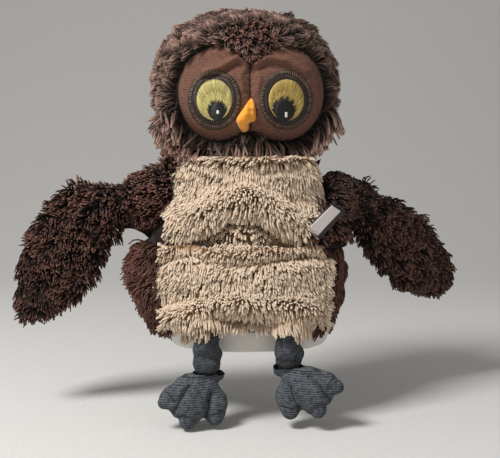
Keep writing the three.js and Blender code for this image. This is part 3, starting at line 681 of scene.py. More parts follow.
class OWL_OT_front(bpy.types.Operator):
    """Chest and belly: cream noodle plush with the folds of a worn glove"""

    bl_idname = "owl.front"
    bl_label = "Chest and belly"

    def execute(self, context):
        tints = context.scene.owl_colours
        # Woven polyester backing: a dull tan shadow between the strands
        backing = grainy_material("cream plush, woven backing", shade(tints.cream_root_shade, 0.75))
        # Long noodle pile of polyester: soft, matte and creamy, darker at the root with painted shade and
        # paler at the tip with painted highlight
        noodles = ("cream plush, long noodle pile", tints.cream_root_shade, tints.cream_tip)
        strands = pile_material(*noodles, spread=0.16)
        rng = np.random.default_rng(11)
        jobs = (
            ("chest", "torso", self.chest_inset, (WAIST - 2, CHEST_TOP), self.chest_vary, "chest_panel"),
            ("belly", "glove", self.belly_inset, (HEM_TOP - 1, WAIST - 0.5), self.belly_vary, "belly_panel"),
        )
        for name, body, inset, heights, vary, cad_node in jobs:
            span = CHEST_SPAN if name == "chest" else FRONT_SPAN
            angles = (-span, span)
            bare = self.bare_chest if name == "chest" else self.bare_belly
            skin = glove_sheet(f"{name}_backing", angles, heights, inset, backing, bare, columns=72, rows=48)
            fitted(skin)
            coat = coat_of("cream", density=0.7, droop=0.25, curl=0.1, sides=5, clump=(0.3, 0.2, 2.6))
            grown = []
            for half, out in SIDES:
                keep = self.kept(name, out)
                grown.append(pile(f"{name}_pile_{half}", rng, skin, strands, coat, self.combed, keep, vary))
                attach(grown[-1], body)
            cloth(skin)
            thickened(skin, PLUSH_THICK)
            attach(skin, body)
            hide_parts(cad_node)
        return {"FINISHED"}

    def bare_chest(self, middles, angle):
        """Cloth of the chest beyond its cream pile, where the gusset shows."""
        places = middles + widened(middles)
        x, z = places[:, 0], places[:, 2]
        spare = 1.5  # cloth left beyond the pile
        return (x < line(z, CHEST_EDGES[0]) - spare) | (x > line(z, CHEST_EDGES[1]) + spare)

    def bare_belly(self, middles, angle):
        """Cloth of the belly beyond its cream pile, where the brown sides and the lining show."""
        x, z = middles[:, 0], middles[:, 2]
        spare, foot_spare = 1.0, 2.0  # cloth left beyond the pile, beside it and under it
        beside = (x < line(z, BELLY_EDGES[0]) - spare) | (x > line(z, BELLY_EDGES[1]) + spare)
        return beside | (z < line(x, BELLY_FOOT) - foot_spare)

    def kept(self, name, out):
        """Chooses the roots of one half, clear of the side seams and of the waist's gap."""

        def keep(places, normals):
            x, z = places[:, 0], places[:, 2]
            edges = CHEST_EDGES if name == "chest" else BELLY_EDGES
            low = CHEST_LOW if name == "chest" else line(x, BELLY_FOOT)
            return (x * out > 0) & (x > line(z, edges[0])) & (x < line(z, edges[1])) & (z > low)

        return keep

    def chest_inset(self, angle, z):
        """Depth of the chest's cloth: a crown, the roll over the fold, the hollow under it and the waist."""
        u = (angle + CHEST_SPAN) / (2 * CHEST_SPAN)
        v = np.clip((z - WAIST) / (CHEST_TOP + 10 - WAIST), 0, 1)
        crown = 8 * np.sin(np.pi * u) * np.sin(np.pi * v) ** 0.5
        x = girth(z, 0) * np.sin(np.radians(angle))
        fold = line(x, CHEST_FOLD)
        off_middle = x + 4
        under = 11 * ease((fold + 2 - z) / 4) * (1 - ease((fold - 9 - z) / 12)) * bell(off_middle, 38)
        roll = 5 * bell(z - fold - 10, 8) * bell(off_middle, 48)
        waist = 7 * bell(z - WAIST - 1, 4.5)
        neck = 2.5 * bell(z - BODY_TOP, 7)
        return CREAM_DEPTH - crown + under - roll + waist - neck

    def belly_inset(self, angle, z):
        """Depth of the belly's cloth: crown, rolled lip, hanging ledge and the bulges over the legs."""
        u = (angle + FRONT_SPAN) / (2 * FRONT_SPAN)
        v = np.clip((z - HEM_TOP) / (WAIST - HEM_TOP), 0, 1)
        crown = 10 * np.sin(np.pi * u) * np.sin(np.pi * v) ** 0.5
        x = girth(z, 0) * np.sin(np.radians(angle))
        lip = line(x, BELLY_LIP)
        rolled = 7 * bell(z - lip - 4, 4.5) - 7.5 * bell(z - lip + 4.5, 3.6)
        ledge = line(x, BELLY_LEDGE)
        hung = 6.5 * bell(z - ledge - 2.5, 4.5) - 5 * bell(z - ledge + 7, 4.5)
        over_legs = 16 * bell(np.abs(x) - LEG_X, 13) * bell(z - LEG_BULGE, 7)
        return CREAM_DEPTH - crown - rolled - hung - over_legs

    def rim(self, roots):
        """1 along the chest's upper edge, 0 below it."""
        return ease((roots[:, 2] - CHEST_TOP + 5) / 4)

    def chest_vary(self, roots):
        """Long strands hang over the fold, short ones lie in it, and the bulge's tips face forward."""
        above = roots[:, 2] - line(roots[:, 0], CHEST_FOLD)
        share = 1 + 0.5 * bell(above - 3, 3.5) - 0.5 * bell(above + 6, 6)
        rim = self.rim(roots)
        share = share + rim * (0.35 * swell(roots, 11, 25) - 0.15)
        lift = 0.52 + 0.3 * bell(above - 13, 8) + 0.25 * bell(above + 10, 8)
        lift = lift + 0.1 * swell(roots, 22, 3) + 0.45 * rim
        lift = np.clip(lift, 0.3, 0.95) - rim * (0.17 + 0.1 * swell(roots, 9, 27))
        return share, lift

    def belly_vary(self, roots):
        """A close-cropped lip, hanging strands under it, forward tips, then a ledge with its long fringe."""
        over_lip = roots[:, 2] - line(roots[:, 0], BELLY_LIP)
        over_ledge = roots[:, 2] - line(roots[:, 0], BELLY_LEDGE)
        share = 1 - 0.6 * bell(over_lip - 5, 5) + 0.2 * bell(over_lip + 5, 4) - 0.3 * bell(over_ledge - 4, 4)
        share = share + 0.5 * bell(over_ledge + 8, 7) + 0.25 * bell(over_ledge + 1, 2)
        on_legs = bell(np.abs(roots[:, 0]) - LEG_X, 12) * bell(roots[:, 2] - LEG_BULGE, 5)
        share = share + 0.1 * on_legs
        lift = 0.62 + 0.3 * bell(over_lip - 5, 5) - 0.2 * bell(over_lip + 8, 6)
        lift = lift + 0.2 * bell(over_ledge - 9, 9)
        lift = lift - 0.35 * bell(over_ledge + 8, 7) + 0.25 * on_legs + 0.12 * swell(roots, 22, 4)
        return share, np.clip(lift, 0.22, 0.95)

    def combed(self, roots):
        """Strands combed downwards, up off the lip, the ledge and the rim, and outwards at the side seams."""
        flow = np.zeros_like(roots)
        flow[:, 2] = -1
        flow[:, 0] = 0.35 * swell(roots, 30, 6)
        edge = bell(roots[:, 2] - line(roots[:, 0], BELLY_LIP) - 5, 4) * (roots[:, 2] < WAIST)
        edge = edge + 0.6 * bell(roots[:, 2] - line(roots[:, 0], BELLY_LEDGE) - 4, 3) * (roots[:, 2] < WAIST)
        flow[:, 2] += 1.3 * edge + 1.25 * self.rim(roots)
        corner = bell(roots[:, 0] - BELLY_CORNER[0], 12) * bell(roots[:, 2] - BELLY_CORNER[1], 8)
        flow[:, 0] -= 1.4 * corner
        for chest, belly, out in zip(CHEST_EDGES, BELLY_EDGES, (-1, 1)):
            seam = np.where(roots[:, 2] > WAIST, line(roots[:, 2], chest), line(roots[:, 2], belly))
            flow[:, 0] += 1.1 * out * bell(roots[:, 0] - seam, 4)
        return flow


def wing_material():
    """The wings' own stringy plush, which runs on over the shoulders.

    Its polyester strands are nearly black at the root with painted shade and pale brown at the tip with
    painted highlight.
    """
    tints = bpy.context.scene.owl_colours
    name = "wing plush, long stringy pile"
    found = bpy.data.materials.get(name)
    return found or pile_material(name, tints.wing_root, tints.wing_tip, spread=0.75, late=0.8)


class OWL_OT_back(bpy.types.Operator):
    """Back and sides of the glove: shaggy brown plush, and the smooth gussets under the wings"""

    bl_idname = "owl.back"
    bl_label = "Back and gussets"

    def execute(self, context):
        tints = context.scene.owl_colours
        # Woven polyester backing, darkened to dark brown as painted shade between the strands
        backing = grainy_material("brown plush, woven backing", shade(tints.body_root, 0.8))
        # Shaggy polyester pile: matte brown, strands of clearly different shade, darker at the root with
        # painted shade
        strands = pile_material("brown plush, shaggy pile", tints.body_root, tints.body_tip, spread=0.6)
        # Brushed twill: flat and dark, its fine diagonal ribs drawn coarser than real ones, to show
        twill = {"pitch_mm": 1.1, "depth_mm": 0.15, "axis": "DIAGONAL", "heather": 0.18, "sheen": 0.0}
        smooth = ribbed_material("gusset, brushed twill", tints.gusset, **twill)
        rng = np.random.default_rng(12)
        coat = coat_of("body", density=0.5, lift=0.5, droop=0.3, curl=0.4, sides=3, clump=(0.6, 0.09, 4.5))

        def hidden(middles, angle):
            """Faces behind the belly and, but for a strip over the waist, behind the gussets."""
            x, y, z = middles.T
            lap = 3.0  # cloth under the belly's edges
            strip, strip_span = 12.0, 112.0  # the strip's height, and its end in degrees from the back
            belly = (x > line(z, BELLY_EDGES[0]) + lap) & (x < line(z, BELLY_EDGES[1]) - lap) & (y < 0)
            span = np.where(z > WAIST + strip, 180 - GUSSET_SPAN, strip_span)
            return np.where(z > WAIST, np.abs(angle - 180) > span, belly)

        def uncovered(places, normals):
            """Roots that aren't on the strip behind the gussets."""
            x, y, z = places.T
            angle = np.degrees(np.arctan2(np.abs(x) / girth(z, 0), -y / girth(z, 1)))
            return (z < WAIST) | (angle > GUSSET_SPAN - 1)

        def inset(angle, z):
            squeezed = bell(angle - 90, 45) - bell(angle - 270, 45)
            return BACK_DEPTH + 3.5 * squeezed + 0.8 * np.sin(angle / 9.0) * np.cos(z / 11.0)

        def combed(roots):
            flow = np.stack([0.5 * swell(roots, 26, 7), -0.7 * (roots[:, 1] < 0), -np.ones(len(roots))], 1)
            flow[:, 1] += 0.4 * swell(roots, 26, 8)
            tuft = self.tuft(roots)
            flow[:, 0] -= 2.5 * tuft
            flow[:, 2] += 0.7 * tuft
            return flow

        def uneven(roots):
            pressed = 0.25 * ease((roots[:, 0] - 40) / 30)
            tuft = self.tuft(roots)
            share = 1 - pressed + 0.6 * tuft + 0.15 * swell(roots, 17, 23)
            lift = 0.5 - pressed + 0.25 * tuft + 0.14 * swell(roots, 20, 22)
            lift = lift + 0.4 * ease((roots[:, 2] - BODY_TOP - 3) / 5)
            return share, np.clip(lift, 0.15, 0.9)

        for name, angles in (("left", (FRONT_SPAN - 14, 180.0)), ("right", (180.0, 374.0 - FRONT_SPAN))):
            heights = (HEM_TOP - 1, BODY_TOP + 9)
            title = f"back_{name}_backing"
            skin = glove_sheet(title, angles, heights, inset, backing, hidden, columns=54, rows=50)
            fitted(skin)
            grown = pile(f"back_{name}_pile", rng, skin, strands, coat, combed, uncovered, uneven)
            cloth(skin)
            thickened(skin, PLUSH_THICK)
            for made in (skin, grown):
                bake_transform(made)
            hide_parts(f"back_lower_{name}", f"back_upper_{name}")
        shoulders = wing_material()
        for side, out in SIDES:
            self.gusset(side, out, smooth, shoulders, rng)
            self.underarm(side, out, smooth)
        return {"FINISHED"}

    def tuft(self, roots):
        """1 where the owl's right side bulges out under its wing, 0 away from it."""
        height, start = 62.0, 55.0  # the bulge's middle, and how far out it starts
        return bell(roots[:, 2] - height, 26) * ease((-roots[:, 0] - start) / 20)

    def gusset(self, side, out, smooth, strands, rng):
        """The smooth side panel with its armhole, and the dark pile around the shoulder."""

        def inset(angle, z):
            return GUSSET_DEPTH + 0.9 * np.sin(z / 4.0 + angle / 14.0)

        shoulder = PIVOT[f"wing_{side}_sweep"]

        def armhole(middles, angle):
            return np.linalg.norm(middles[:, 1:] - shoulder[1:], axis=1) < ARMHOLE_RADIUS

        def near_shoulder(places, normals):
            x, y, z = places.T
            clear = (x < line(z, CHEST_EDGES[0])) | (x > line(z, CHEST_EDGES[1])) | (y > -10)
            low, high = SHOULDER_PILE[side]
            return clear & (z > low) & ((z < high) | (y > 2))

        def outwards(roots):
            flow = roots - shoulder + [18.0 * out, 0, 4.0]
            flow[:, 2] += 12 * swell(roots, 20, 24)
            return flow

        def longer_up(roots):
            up = ease((roots[:, 2] - 112) / 14)
            return (1 + 0.7 * up, 0.6) if out < 0 else (1 - 0.3 * up, 0.55 - 0.25 * up)

        angles = tuple(sorted((out * (FRONT_SPAN - 24), out * (GUSSET_SPAN + 3))))
        heights = (WAIST - 3, BODY_TOP + 5)
        title = f"side_gusset_{side}"
        sheet = glove_sheet(title, angles, heights, inset, smooth, armhole, columns=36, rows=36)
        fitted(sheet)
        coat = coat_of("wing", density=0.45, droop=0.2, curl=0.4, sides=3, clump=(0.55, 0.1, 4.5))
        grown = pile(f"shoulder_{side}_pile", rng, sheet, strands, coat, outwards, near_shoulder, longer_up)
        cloth(sheet)
        thickened(sheet, GUSSET_THICK)
        for made in (sheet, grown):
            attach(made, "torso")
        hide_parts(f"side_gusset_{side}")

    def underarm(self, side, out, smooth):
        """Slack cloth of the gusset between the glove's side and the wing's lower edge."""
        root, bend = PIVOT[f"wing_{side}_flap"], PIVOT[f"wing_{side}_fold"]
        columns, rows = 20, 14
        u, v = np.meshgrid(np.linspace(0, 1, columns + 1), np.linspace(0, 1, rows + 1))
        z = WEB_TOP - WEB_LENGTH * v
        body = np.stack([out * (girth(z, 0) - 6), np.zeros_like(z), z], -1)
        along = unit(bend - root) * (4 + 6 * v[..., None])
        wing = root + along - np.array([0, 0, 1]) * (2 + 18 * v[..., None])
        points = body + (wing - body) * u[..., None]
        points[..., 1] += 1.6 * np.sin(11 * u + 5 * v) * np.sin(np.pi * u)
        points[..., 2] += 5 * v * np.sin(np.pi * u)
        web = build(f"underarm_{side}", points.reshape(-1, 3), [grid(columns, rows)], smooth)
        cloth(web)
        thickened(web, WEB_THICK)
        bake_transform(web)


# Shapes of the head


def head_points(directions, inset):
    """Points of the head's form in some directions from its middle, at a depth under the pile."""
    half = HEAD_HALF - inset
    sums = np.sum(np.abs(directions / half) ** HEAD_FULLNESS, axis=-1, keepdims=True)
    return HEAD_MIDDLE + directions * sums ** (-1 / HEAD_FULLNESS)


def head_front(x, z, inset):
    """How far forward the head's form is at a place seen from the front."""
    half = HEAD_HALF - inset
    rest = 1 - np.abs(x / half[0]) ** HEAD_FULLNESS
    rest = rest - np.abs((z - HEAD_MIDDLE[2]) / half[2]) ** HEAD_FULLNESS
    return -half[1] * np.maximum(rest, 0.001) ** (1 / HEAD_FULLNESS)


LOBE_Z = HEAD_MIDDLE[2] - 8
MUZZLE_Z = HEAD_MIDDLE[2] - 23
MUZZLE = np.array([46.0, 27.0]) / 2
EYE_Z = HEAD_MIDDLE[2] - 13
FACE_SHIFT = 1.8  # the sewn face sits a little towards the owl's left
PUPILS = {"left": (-1.8, -8.3, 7.9), "right": (2.0, -8.6, 6.2)}  # place from the eye's middle, and radius
GLINTS = {"left": (1.6, -2.4, 1.5), "right": (0.6, -0.3, 0.9)}  # place from the pupil's middle, half height
FACE_DEPTH = 5.6  # face cloth under the head's pile
HEAD_DEPTH = 6.0  # head backing under the tips of its pile
FACE_HOLLOW = 5.0  # how much deeper the head's backing lies behind the face
HEAD_SHIFT = 2.4  # the plush sits a little towards the owl's right


def face_reach(x, z, face):
    """1 on the face's outline, less inside it: two lobes and the muzzle under the beak."""
    lobe_x, half = face.lobe_x / MM, np.array([face.lobe_width, face.lobe_height]) / MM / 2
    x = x - FACE_SHIFT
    lobe = np.hypot((np.abs(x) - lobe_x) / half[0], (z - LOBE_Z) / half[1])
    muzzle = np.hypot(x / MUZZLE[0], (z - MUZZLE_Z) / MUZZLE[1])
    return np.minimum(lobe, muzzle)


FUR_SOURCE = HEAD_MIDDLE + [0, -45, -4]  # place before the face from which the fur lies outwards
WHORL = np.array([4.0, HEAD_MIDDLE[2] + 39])  # x and height of the parting over the face's peak


class OWL_OT_head(bpy.types.Operator):
    """Head: fine shaggy plush over a stuffed ball, a stringy fringe under the face, and the neck's collar"""

    bl_idname = "owl.head"
    bl_label = "Head"

    def execute(self, context):
        tints, face = context.scene.owl_colours, context.scene.owl_face
        # Woven polyester backing, darkened to nearly black as painted shade between the strands
        backing = grainy_material("head plush, woven backing", shade(tints.head_root, 0.7))
        # Fine shaggy polyester pile: pale tips as painted highlight over dark roots as painted shade
        shaggy = ("head plush, fine shaggy pile", tints.head_root, tints.head_tip)
        strands = pile_material(*shaggy, spread=0.65, late=0.68)
        rng = np.random.default_rng(13)
        columns, rows = 96, 56
        turn, polar = np.meshgrid(whole_turn(columns), np.linspace(0.02, math.pi - 0.55, rows + 1))
        heading = np.stack([np.sin(polar) * np.sin(turn), -np.sin(polar) * np.cos(turn), np.cos(polar)], -1)
        heading = heading.reshape(-1, 3)
        points = head_points(heading, HEAD_DEPTH)
        inside = (points[:, 1] < 0) & (face_reach(points[:, 0], points[:, 2], face) < 1)
        points[inside] = head_points(heading[inside], HEAD_DEPTH + FACE_HOLLOW)
        points[~inside, 0] -= HEAD_SHIFT
        skin = build("head_backing", points, [grid(columns, rows, ring=True)[:, ::-1]], backing)

        def outside(places):
            return (places[:, 1] > 0) | (face_reach(places[:, 0], places[:, 2], face) > 1.02)

        fine = {"profile": FINE, "sides": 3, "clump": (0.95, 0.035, 6.0)}
        fur = coat_of("head", density=0.93, droop=0.2, curl=0.4, **fine)
        fringe = coat_of("fringe", density=0.42, lift=0.66, droop=0.6, curl=0.55, clump=(0.8, 0.12, 5.0))
        coats = []
        for part, front in (("front", True), ("back", False)):
            for side, out in SIDES:

                def quarter(places, normals):
                    return outside(places) & ((places[:, 1] < 0) == front) & (places[:, 0] * out > 0)

                name = f"head_{part}_{side}_pile"
                coats.append(pile(name, rng, skin, strands, fur, self.flow, quarter, self.vary))

        def under_face(places, normals):
            reach = face_reach(places[:, 0], places[:, 2], face)
            low = places[:, 2] < LOBE_Z - 12 - 6 * swell(places, 20, 12)
            return (places[:, 1] < -6) & (reach > 1.01) & (reach < 1.4) & low

        coats.append(pile("head_fringe", rng, skin, strands, fringe, self.hanging, under_face))

        def on_peak(places, normals):
            return outside(places) & (self.peak(places) > 0.3)

        tuft = {**fringe, "density": 0.4, "length": 8.0, "lift": 0.8, "droop": 0.3}
        coats.append(pile("head_peak", rng, skin, wing_material(), tuft, self.flow, on_peak))
        for made in coats:
            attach(made, "head")
        thickened(skin, PLUSH_THICK)
        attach(skin, "head")
        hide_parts("head_cover_front", "head_cover_back", "head_stuffing")
        self.collar(backing)
        return {"FINISHED"}

    def peak(self, roots):
        """1 on the peak of fur that dips between the face's lobes, 0 away from it."""
        below = 1 / (1 + np.exp(np.clip((roots[:, 2] - WHORL[1]) / 2.0, -30, 30)))
        front = (roots[:, 1] < 0) & (roots[:, 2] > HEAD_MIDDLE[2])
        return bell(roots[:, 0] - WHORL[0] / 2, 15) * below * front

    def flow(self, roots):
        """Fur lies outwards from the face, down the back, and down the peak between the lobes."""
        flow = unit(roots - FUR_SOURCE)
        flow[:, 2] -= np.where(roots[:, 1] > 0, 0.8, 0.1) + 3.0 * self.peak(roots)
        flow[:, 0] += 0.45 * swell(roots, 28, 9)
        flow[:, 2] += 0.45 * swell(roots, 28, 10)
        return flow

    def vary(self, roots):
        """Longer over the collar, shorter on the peak, and uneven all over."""
        rim, peak = bell(roots[:, 2] - HEAD_LOW[2] - 5, 11), self.peak(roots)
        share = 1 + (0.9 + 0.6 * (roots[:, 1] > 0)) * rim - 0.3 * peak + 0.12 * swell(roots, 16, 13)
        return share, np.clip(0.5 + 0.2 * peak - 0.12 * rim + 0.14 * swell(roots, 20, 2), 0.2, 0.9)

    def hanging(self, roots):
        """The fringe hangs forward over the chest."""
        flow = np.zeros_like(roots)
        flow[:, 0] = 0.018 * roots[:, 0] + 0.3 * swell(roots, 18, 14)
        flow[:, 1] = -0.5
        flow[:, 2] = -1
        return flow

    def collar(self, backing):
        """The covered ball that turns in the glove's upper rim, bored for the finger."""
        bore = 13.5
        lean = np.linspace(math.asin(bore / COLLAR_RADIUS), math.radians(84), 14)
        profile = [(COLLAR_RADIUS * math.sin(a), COLLAR_HEIGHT - COLLAR_RADIUS * math.cos(a)) for a in lean]
        profile += [(bore, profile[-1][1] + 2)]
        # Covered in the head's backing cloth, whose near-black colour is painted shade
        collar = lathe("neck_collar_cloth", profile, 48, backing)
        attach(collar, "head")
        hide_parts("neck_collar")


def lathe(name, profile, columns, material):
    """A closed ring turned about Z from a closed profile of (radius, height)."""
    turn = 2 * np.pi * np.arange(columns) / columns
    radius, height = np.array(profile).T
    x, y = np.outer(radius, np.sin(turn)), -np.outer(radius, np.cos(turn))
    points = np.stack([x, y, np.outer(height, np.ones(columns))], -1).reshape(-1, 3)
    return build(name, points, [grid(columns, len(profile), ring=True, closed=True)], material)


# Soft folds of the face as (x, height over the head's middle) lines, in millimetres
BROW_FOLDS = (
    ((-1, 14), (-9, 17.5), (-20, 11), (-32, 7)),
    ((2, 12), (13, 17), (27, 15), (40, 7)),
)
CHEEK_FOLDS = (((-3, 11), (-7, 4), (-5, -6)), ((4, 9), (7, 2), (5, -7)))


def apart(x, z, path):
    """Distance of places from a line of straight pieces, seen from the front."""
    place = np.stack(np.broadcast_arrays(x, z), -1)
    nearest = np.full(place.shape[:-1], np.inf)
    for start, end in zip(np.array(path[:-1], float), np.array(path[1:], float)):
        run = end - start
        along = np.clip((place - start) @ run / (run @ run), 0, 1)
        nearest = np.minimum(nearest, np.linalg.norm(place - start - along[..., None] * run, axis=-1))
    return nearest


def face_surface(x, z, face):
    """Y of the face's cloth: pillowed lobes, a sunk outline, a puckered middle seam and soft folds."""
    reach = face_reach(x, z, face)
    edge = np.clip((1.0 - reach) / 0.16, 0, 1)
    sink = 2.6 * (1 - ease(edge))
    up = z - HEAD_MIDDLE[2]
    across = x - FACE_SHIFT
    seam = 1.4 * bell(across, 1.6) + (1.2 + 0.35 * np.sin(up * 1.4)) * bell(across, 5)
    fold = 0.0
    for path in BROW_FOLDS:
        fold = fold + 2.8 * bell(apart(across, up, path), 2.4) - 2.0 * bell(apart(across, up + 5, path), 2.6)
    for path in CHEEK_FOLDS:
        fold = fold + 1.2 * bell(apart(across, up, path), 1.8)
    return head_front(x, z, FACE_DEPTH) + sink + seam - fold * edge


class OWL_OT_face(bpy.types.Operator):
    """Face: two lobes of brushed cloth, pulled in at the middle seam and creased over the eyes"""

    bl_idname = "owl.face"
    bl_label = "Face"

    def execute(self, context):
        face = context.scene.owl_face
        # Brushed knit: matte brown, its nap breaking up rows that are drawn coarser than real ones, to show
        brushed = {"pitch_mm": 1.1, "depth_mm": 0.4, "axis": "Z", "heather": 0.42, "sheen": 0.05}
        knit = ribbed_material("face, brushed knit", context.scene.owl_colours.face, **brushed)
        for side, out in SIDES:
            panel = build(f"face_{side}", *self.panel(face, out), knit)
            thickened(panel, FACE_THICK)
            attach(panel, "head")
            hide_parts(f"face_{side}")
        return {"FINISHED"}

    def panel(self, face, out):
        """Points and faces of one half, on a grid from the middle seam to the outline."""
        columns, rows = 84, 96
        lobe_x, half_x = face.lobe_x / MM, face.lobe_width / MM / 2
        half_z = face.lobe_height / MM / 2
        u = np.sin(np.pi / 2 * np.linspace(0, 1, columns + 1))
        x = 0.15 + (lobe_x + half_x - 0.25) * u
        lobe = half_z * np.sqrt(np.maximum(1 - ((x - lobe_x) / half_x) ** 2, 0))
        muzzle = MUZZLE[1] * np.sqrt(np.maximum(1 - (x / MUZZLE[0]) ** 2, 0))
        top = LOBE_Z + lobe
        bottom = np.where(x < MUZZLE[0], np.minimum(LOBE_Z - lobe, MUZZLE_Z - muzzle), LOBE_Z - lobe)
        v = (1 - np.cos(np.pi * np.linspace(0, 1, rows + 1))) / 2
        z = bottom[None] + (top - bottom)[None] * v[:, None]
        x = np.broadcast_to(x, z.shape) * out + FACE_SHIFT
        points = np.stack([x, face_surface(x, z, face), z], -1).reshape(-1, 3)
        faces = grid(columns, rows)
        return points, [faces if out > 0 else faces[:, ::-1]]


class OWL_OT_eyes(bpy.types.Operator):
    """Eyes: rings, irises, pupils and glints sewn stitch by stitch onto the face"""

    bl_idname = "owl.eyes"
    bl_label = "Eyes"

    def execute(self, context):
        tints, face = context.scene.owl_colours, context.scene.owl_face
        # Rayon embroidery thread: a soft gloss whose shade changes from stitch to stitch
        ring_thread = thread_material("eye ring, rayon stitches", tints.ring, dark=0.5, light=1.4)
        edge_thread = thread_material("eye ring edge, zigzag stitches", tints.edge, dark=0.2, light=1.5)
        pupil_thread = thread_material("pupil, black rayon stitches", tints.pupil)
        glint_thread = thread_material("glint, white rayon stitches", tints.glint)
        rng = np.random.default_rng(14)
        iris = np.array([face.iris_width, face.iris_height]) / MM / 2
        ring = np.array([face.ring_width, face.ring_height]) / MM / 2
        for side, out in SIDES:
            eye = np.array([out * face.eye_x / MM + FACE_SHIFT, EYE_Z])
            dark, pupil = eye + PUPILS[side][:2], PUPILS[side][2]
            iris_tint = getattr(tints, f"iris_{side}")
            title = f"{side} iris, rayon satin stitch"
            iris_thread = thread_material(title, iris_tint, dark=0.45, light=1.25)

            def spokes(count, inner, outer, lift):
                """Stitches all around the eye between two ellipses; lift is the height of their arch."""
                way = spin(whole_turn(count) + rng.normal(0, 0.008, count))
                return eye + way * inner, eye + way * outer, np.full(count, lift)

            band = ring - iris
            rows = [
                spokes(170, iris * 0.98, iris + band * 0.5, 0.5),
                spokes(190, iris + band * 0.4, iris + band * 0.98, 0.45),
            ]
            self.sew(f"eye_ring_{side}", rows, ring_thread, face, rng, "thread_dark_brown")
            rows = [spokes(76, iris + band * 0.55, ring * 0.97, 1.0)]
            self.sew(f"eye_edge_{side}", rows, edge_thread, face, rng, "thread_dark_brown", is_node=False)

            count = 150
            way = spin(whole_turn(count))
            edge = eye + way * iris
            start = dark + way * pupil * 0.85
            middle = start + (edge - start) * rng.uniform(0.45, 0.7, (count, 1))
            rows = [
                (start, middle, np.full(count, 0.7)),
                (middle - (edge - start) * 0.1, edge, np.full(count, 0.95)),
            ]
            self.sew(f"iris_{side}", rows, iris_thread, face, rng, "thread_yellow_green")
            self.sew(f"pupil_{side}", self.pupil(dark, pupil, rng), pupil_thread, face, rng, "thread_black")
            shine, tall = dark + GLINTS[side][:2], GLINTS[side][2]
            count = 6
            step = np.linspace(-tall, tall, count)
            left, right = (shine + np.stack([np.full(count, half), step], 1) for half in (-1.0, 1.0))
            rows = [(left, right, np.full(count, 2.4))]
            self.sew(f"glint_{side}", rows, glint_thread, face, rng, "thread_white")
        return {"FINISHED"}

    def pupil(self, dark, pupil, rng):
        """Level stitches across the pupil, with loose ones feathering up into the iris."""
        count = 30
        across = np.linspace(-1, 1, count + 2)[1:-1]
        half = pupil * np.sqrt(1 - across**2)
        level = dark[1] + across * pupil
        left = np.stack([dark[0] - half, level], 1)
        right = np.stack([dark[0] + half, level], 1)
        loose = 26
        angle = np.linspace(0.0, np.pi, loose) + rng.normal(0, 0.05, loose)
        way = spin(angle) * pupil
        reach = 1.12 + 0.5 * np.abs(np.sin(angle)) * rng.uniform(0.3, 1.0, loose)
        return [
            (left, right, np.full(count, 1.6)),
            (dark + way * 0.85, dark + way * reach[:, None], np.full(loose, 1.2)),
        ]

    def sew(self, name, rows, material, face, rng, slot, is_node=True):
        """Stitches from start to end places of the face, arched over the cloth."""
        start, end, lift = (np.concatenate([row[k] for row in rows]) for k in range(3))
        t = np.linspace(0, 1, 6)[:, None]
        flat = start[None] + (end - start)[None] * t[:, :, None]
        arch = lift[None] * np.sin(np.pi * np.clip(t, 0.08, 0.92)) ** 0.5
        y = face_surface(flat[:, :, 0], flat[:, :, 1], face) - arch
        paths = np.stack([flat[:, :, 0], y, flat[:, :, 1]], -1)
        radius = face.thread / MM / 2 * rng.uniform(0.9, 1.15, len(start))
        tint = np.clip(rng.normal(0.6, 0.22, len(start)), 0, 1)
        stitches = tubes(name, paths, radius, (0.7, 1, 1, 1, 1, 0.7), 5, material, tint)
        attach(stitches, "head")
        if is_node:
            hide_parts(name)


# Outline of the beak from the front: depth under its top, left edge, right edge and how far it stands out
BEAK_OUTLINE = (
    (0, 1.6, 2.8, 1.0),
    (2.2, 0.2, 4.2, 3.0),
    (4.3, -1.4, 5.1, 4.8),
    (7.2, -3.2, 5.4, 7.2),
    (10, -5.3, 5.6, 9.2),
    (13, -7.4, 5.8, 10.6),
    (15.2, -8.4, 5.8, 11.0),
    (16.2, -8.4, 4.8, 10.6),
    (17.2, -8.2, 1.4, 9.8),
    (18.7, -7.4, 0.6, 9.0),
    (21.6, -5.9, 0.6, 6.6),
    (23.4, -4.4, -0.6, 4.0),
    (24.4, -3.4, -2.2, 1.6),
)


class OWL_OT_beak(bpy.types.Operator):
    """Beak: a folded drop of orange suede that hooks down, open under its hem on one side"""

    bl_idname = "owl.beak"
    bl_label = "Beak"

    def execute(self, context):
        # Brushed suede cloth: an even, soft orange with a faint nap
        nap = {"grain_mm": 0.7, "depth_mm": 0.12, "spread": 0.1}
        suede = grainy_material("beak, brushed suede", context.scene.owl_colours.beak, **nap)
        top = node_box("beak")[1][2]
        face = context.scene.owl_face
        columns, rows = 48, 60
        depth = np.linspace(0, BEAK_OUTLINE[-1][0], rows + 1)[:, None]
        table = np.array(BEAK_OUTLINE).T
        left, right, out = (np.interp(depth, table[0], column) for column in table[1:])
        turn = whole_turn(columns)[None]
        across, forward = np.cos(turn), -np.sin(turn)
        x = (left + right) / 2 + (right - left) / 2 * np.sign(across) * np.abs(across) ** 0.8
        z = top - depth * np.ones_like(turn)
        base = face_surface(np.clip(x, -30, 30), z, face)
        ridge = out * np.maximum(forward, 0) ** 0.7 * (1 - 0.28 * np.maximum(across, 0))
        y = np.where(forward > 0, base + 0.4 - ridge, base + 0.6)
        beak = build("beak", np.stack([x, y, z], -1).reshape(-1, 3), ring_faces(columns, rows), suede)
        soft = beak.modifiers.new("soften", "SMOOTH")
        soft.iterations = 3
        finished(beak)
        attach(beak, "head")
        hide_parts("beak")
        return {"FINISHED"}


def ring_faces(columns, rows):
    """Faces of a tube of rings with its two ends closed."""
    last = rows * columns
    ends = np.stack([np.arange(columns)[::-1], last + np.arange(columns)])
    return [grid(columns, rows, ring=True), ends]


WING_RIDGE = ((-108, 118), (-111, 111), (-129, 90), (-140, 65))  # (x, z) of the right wing's crease


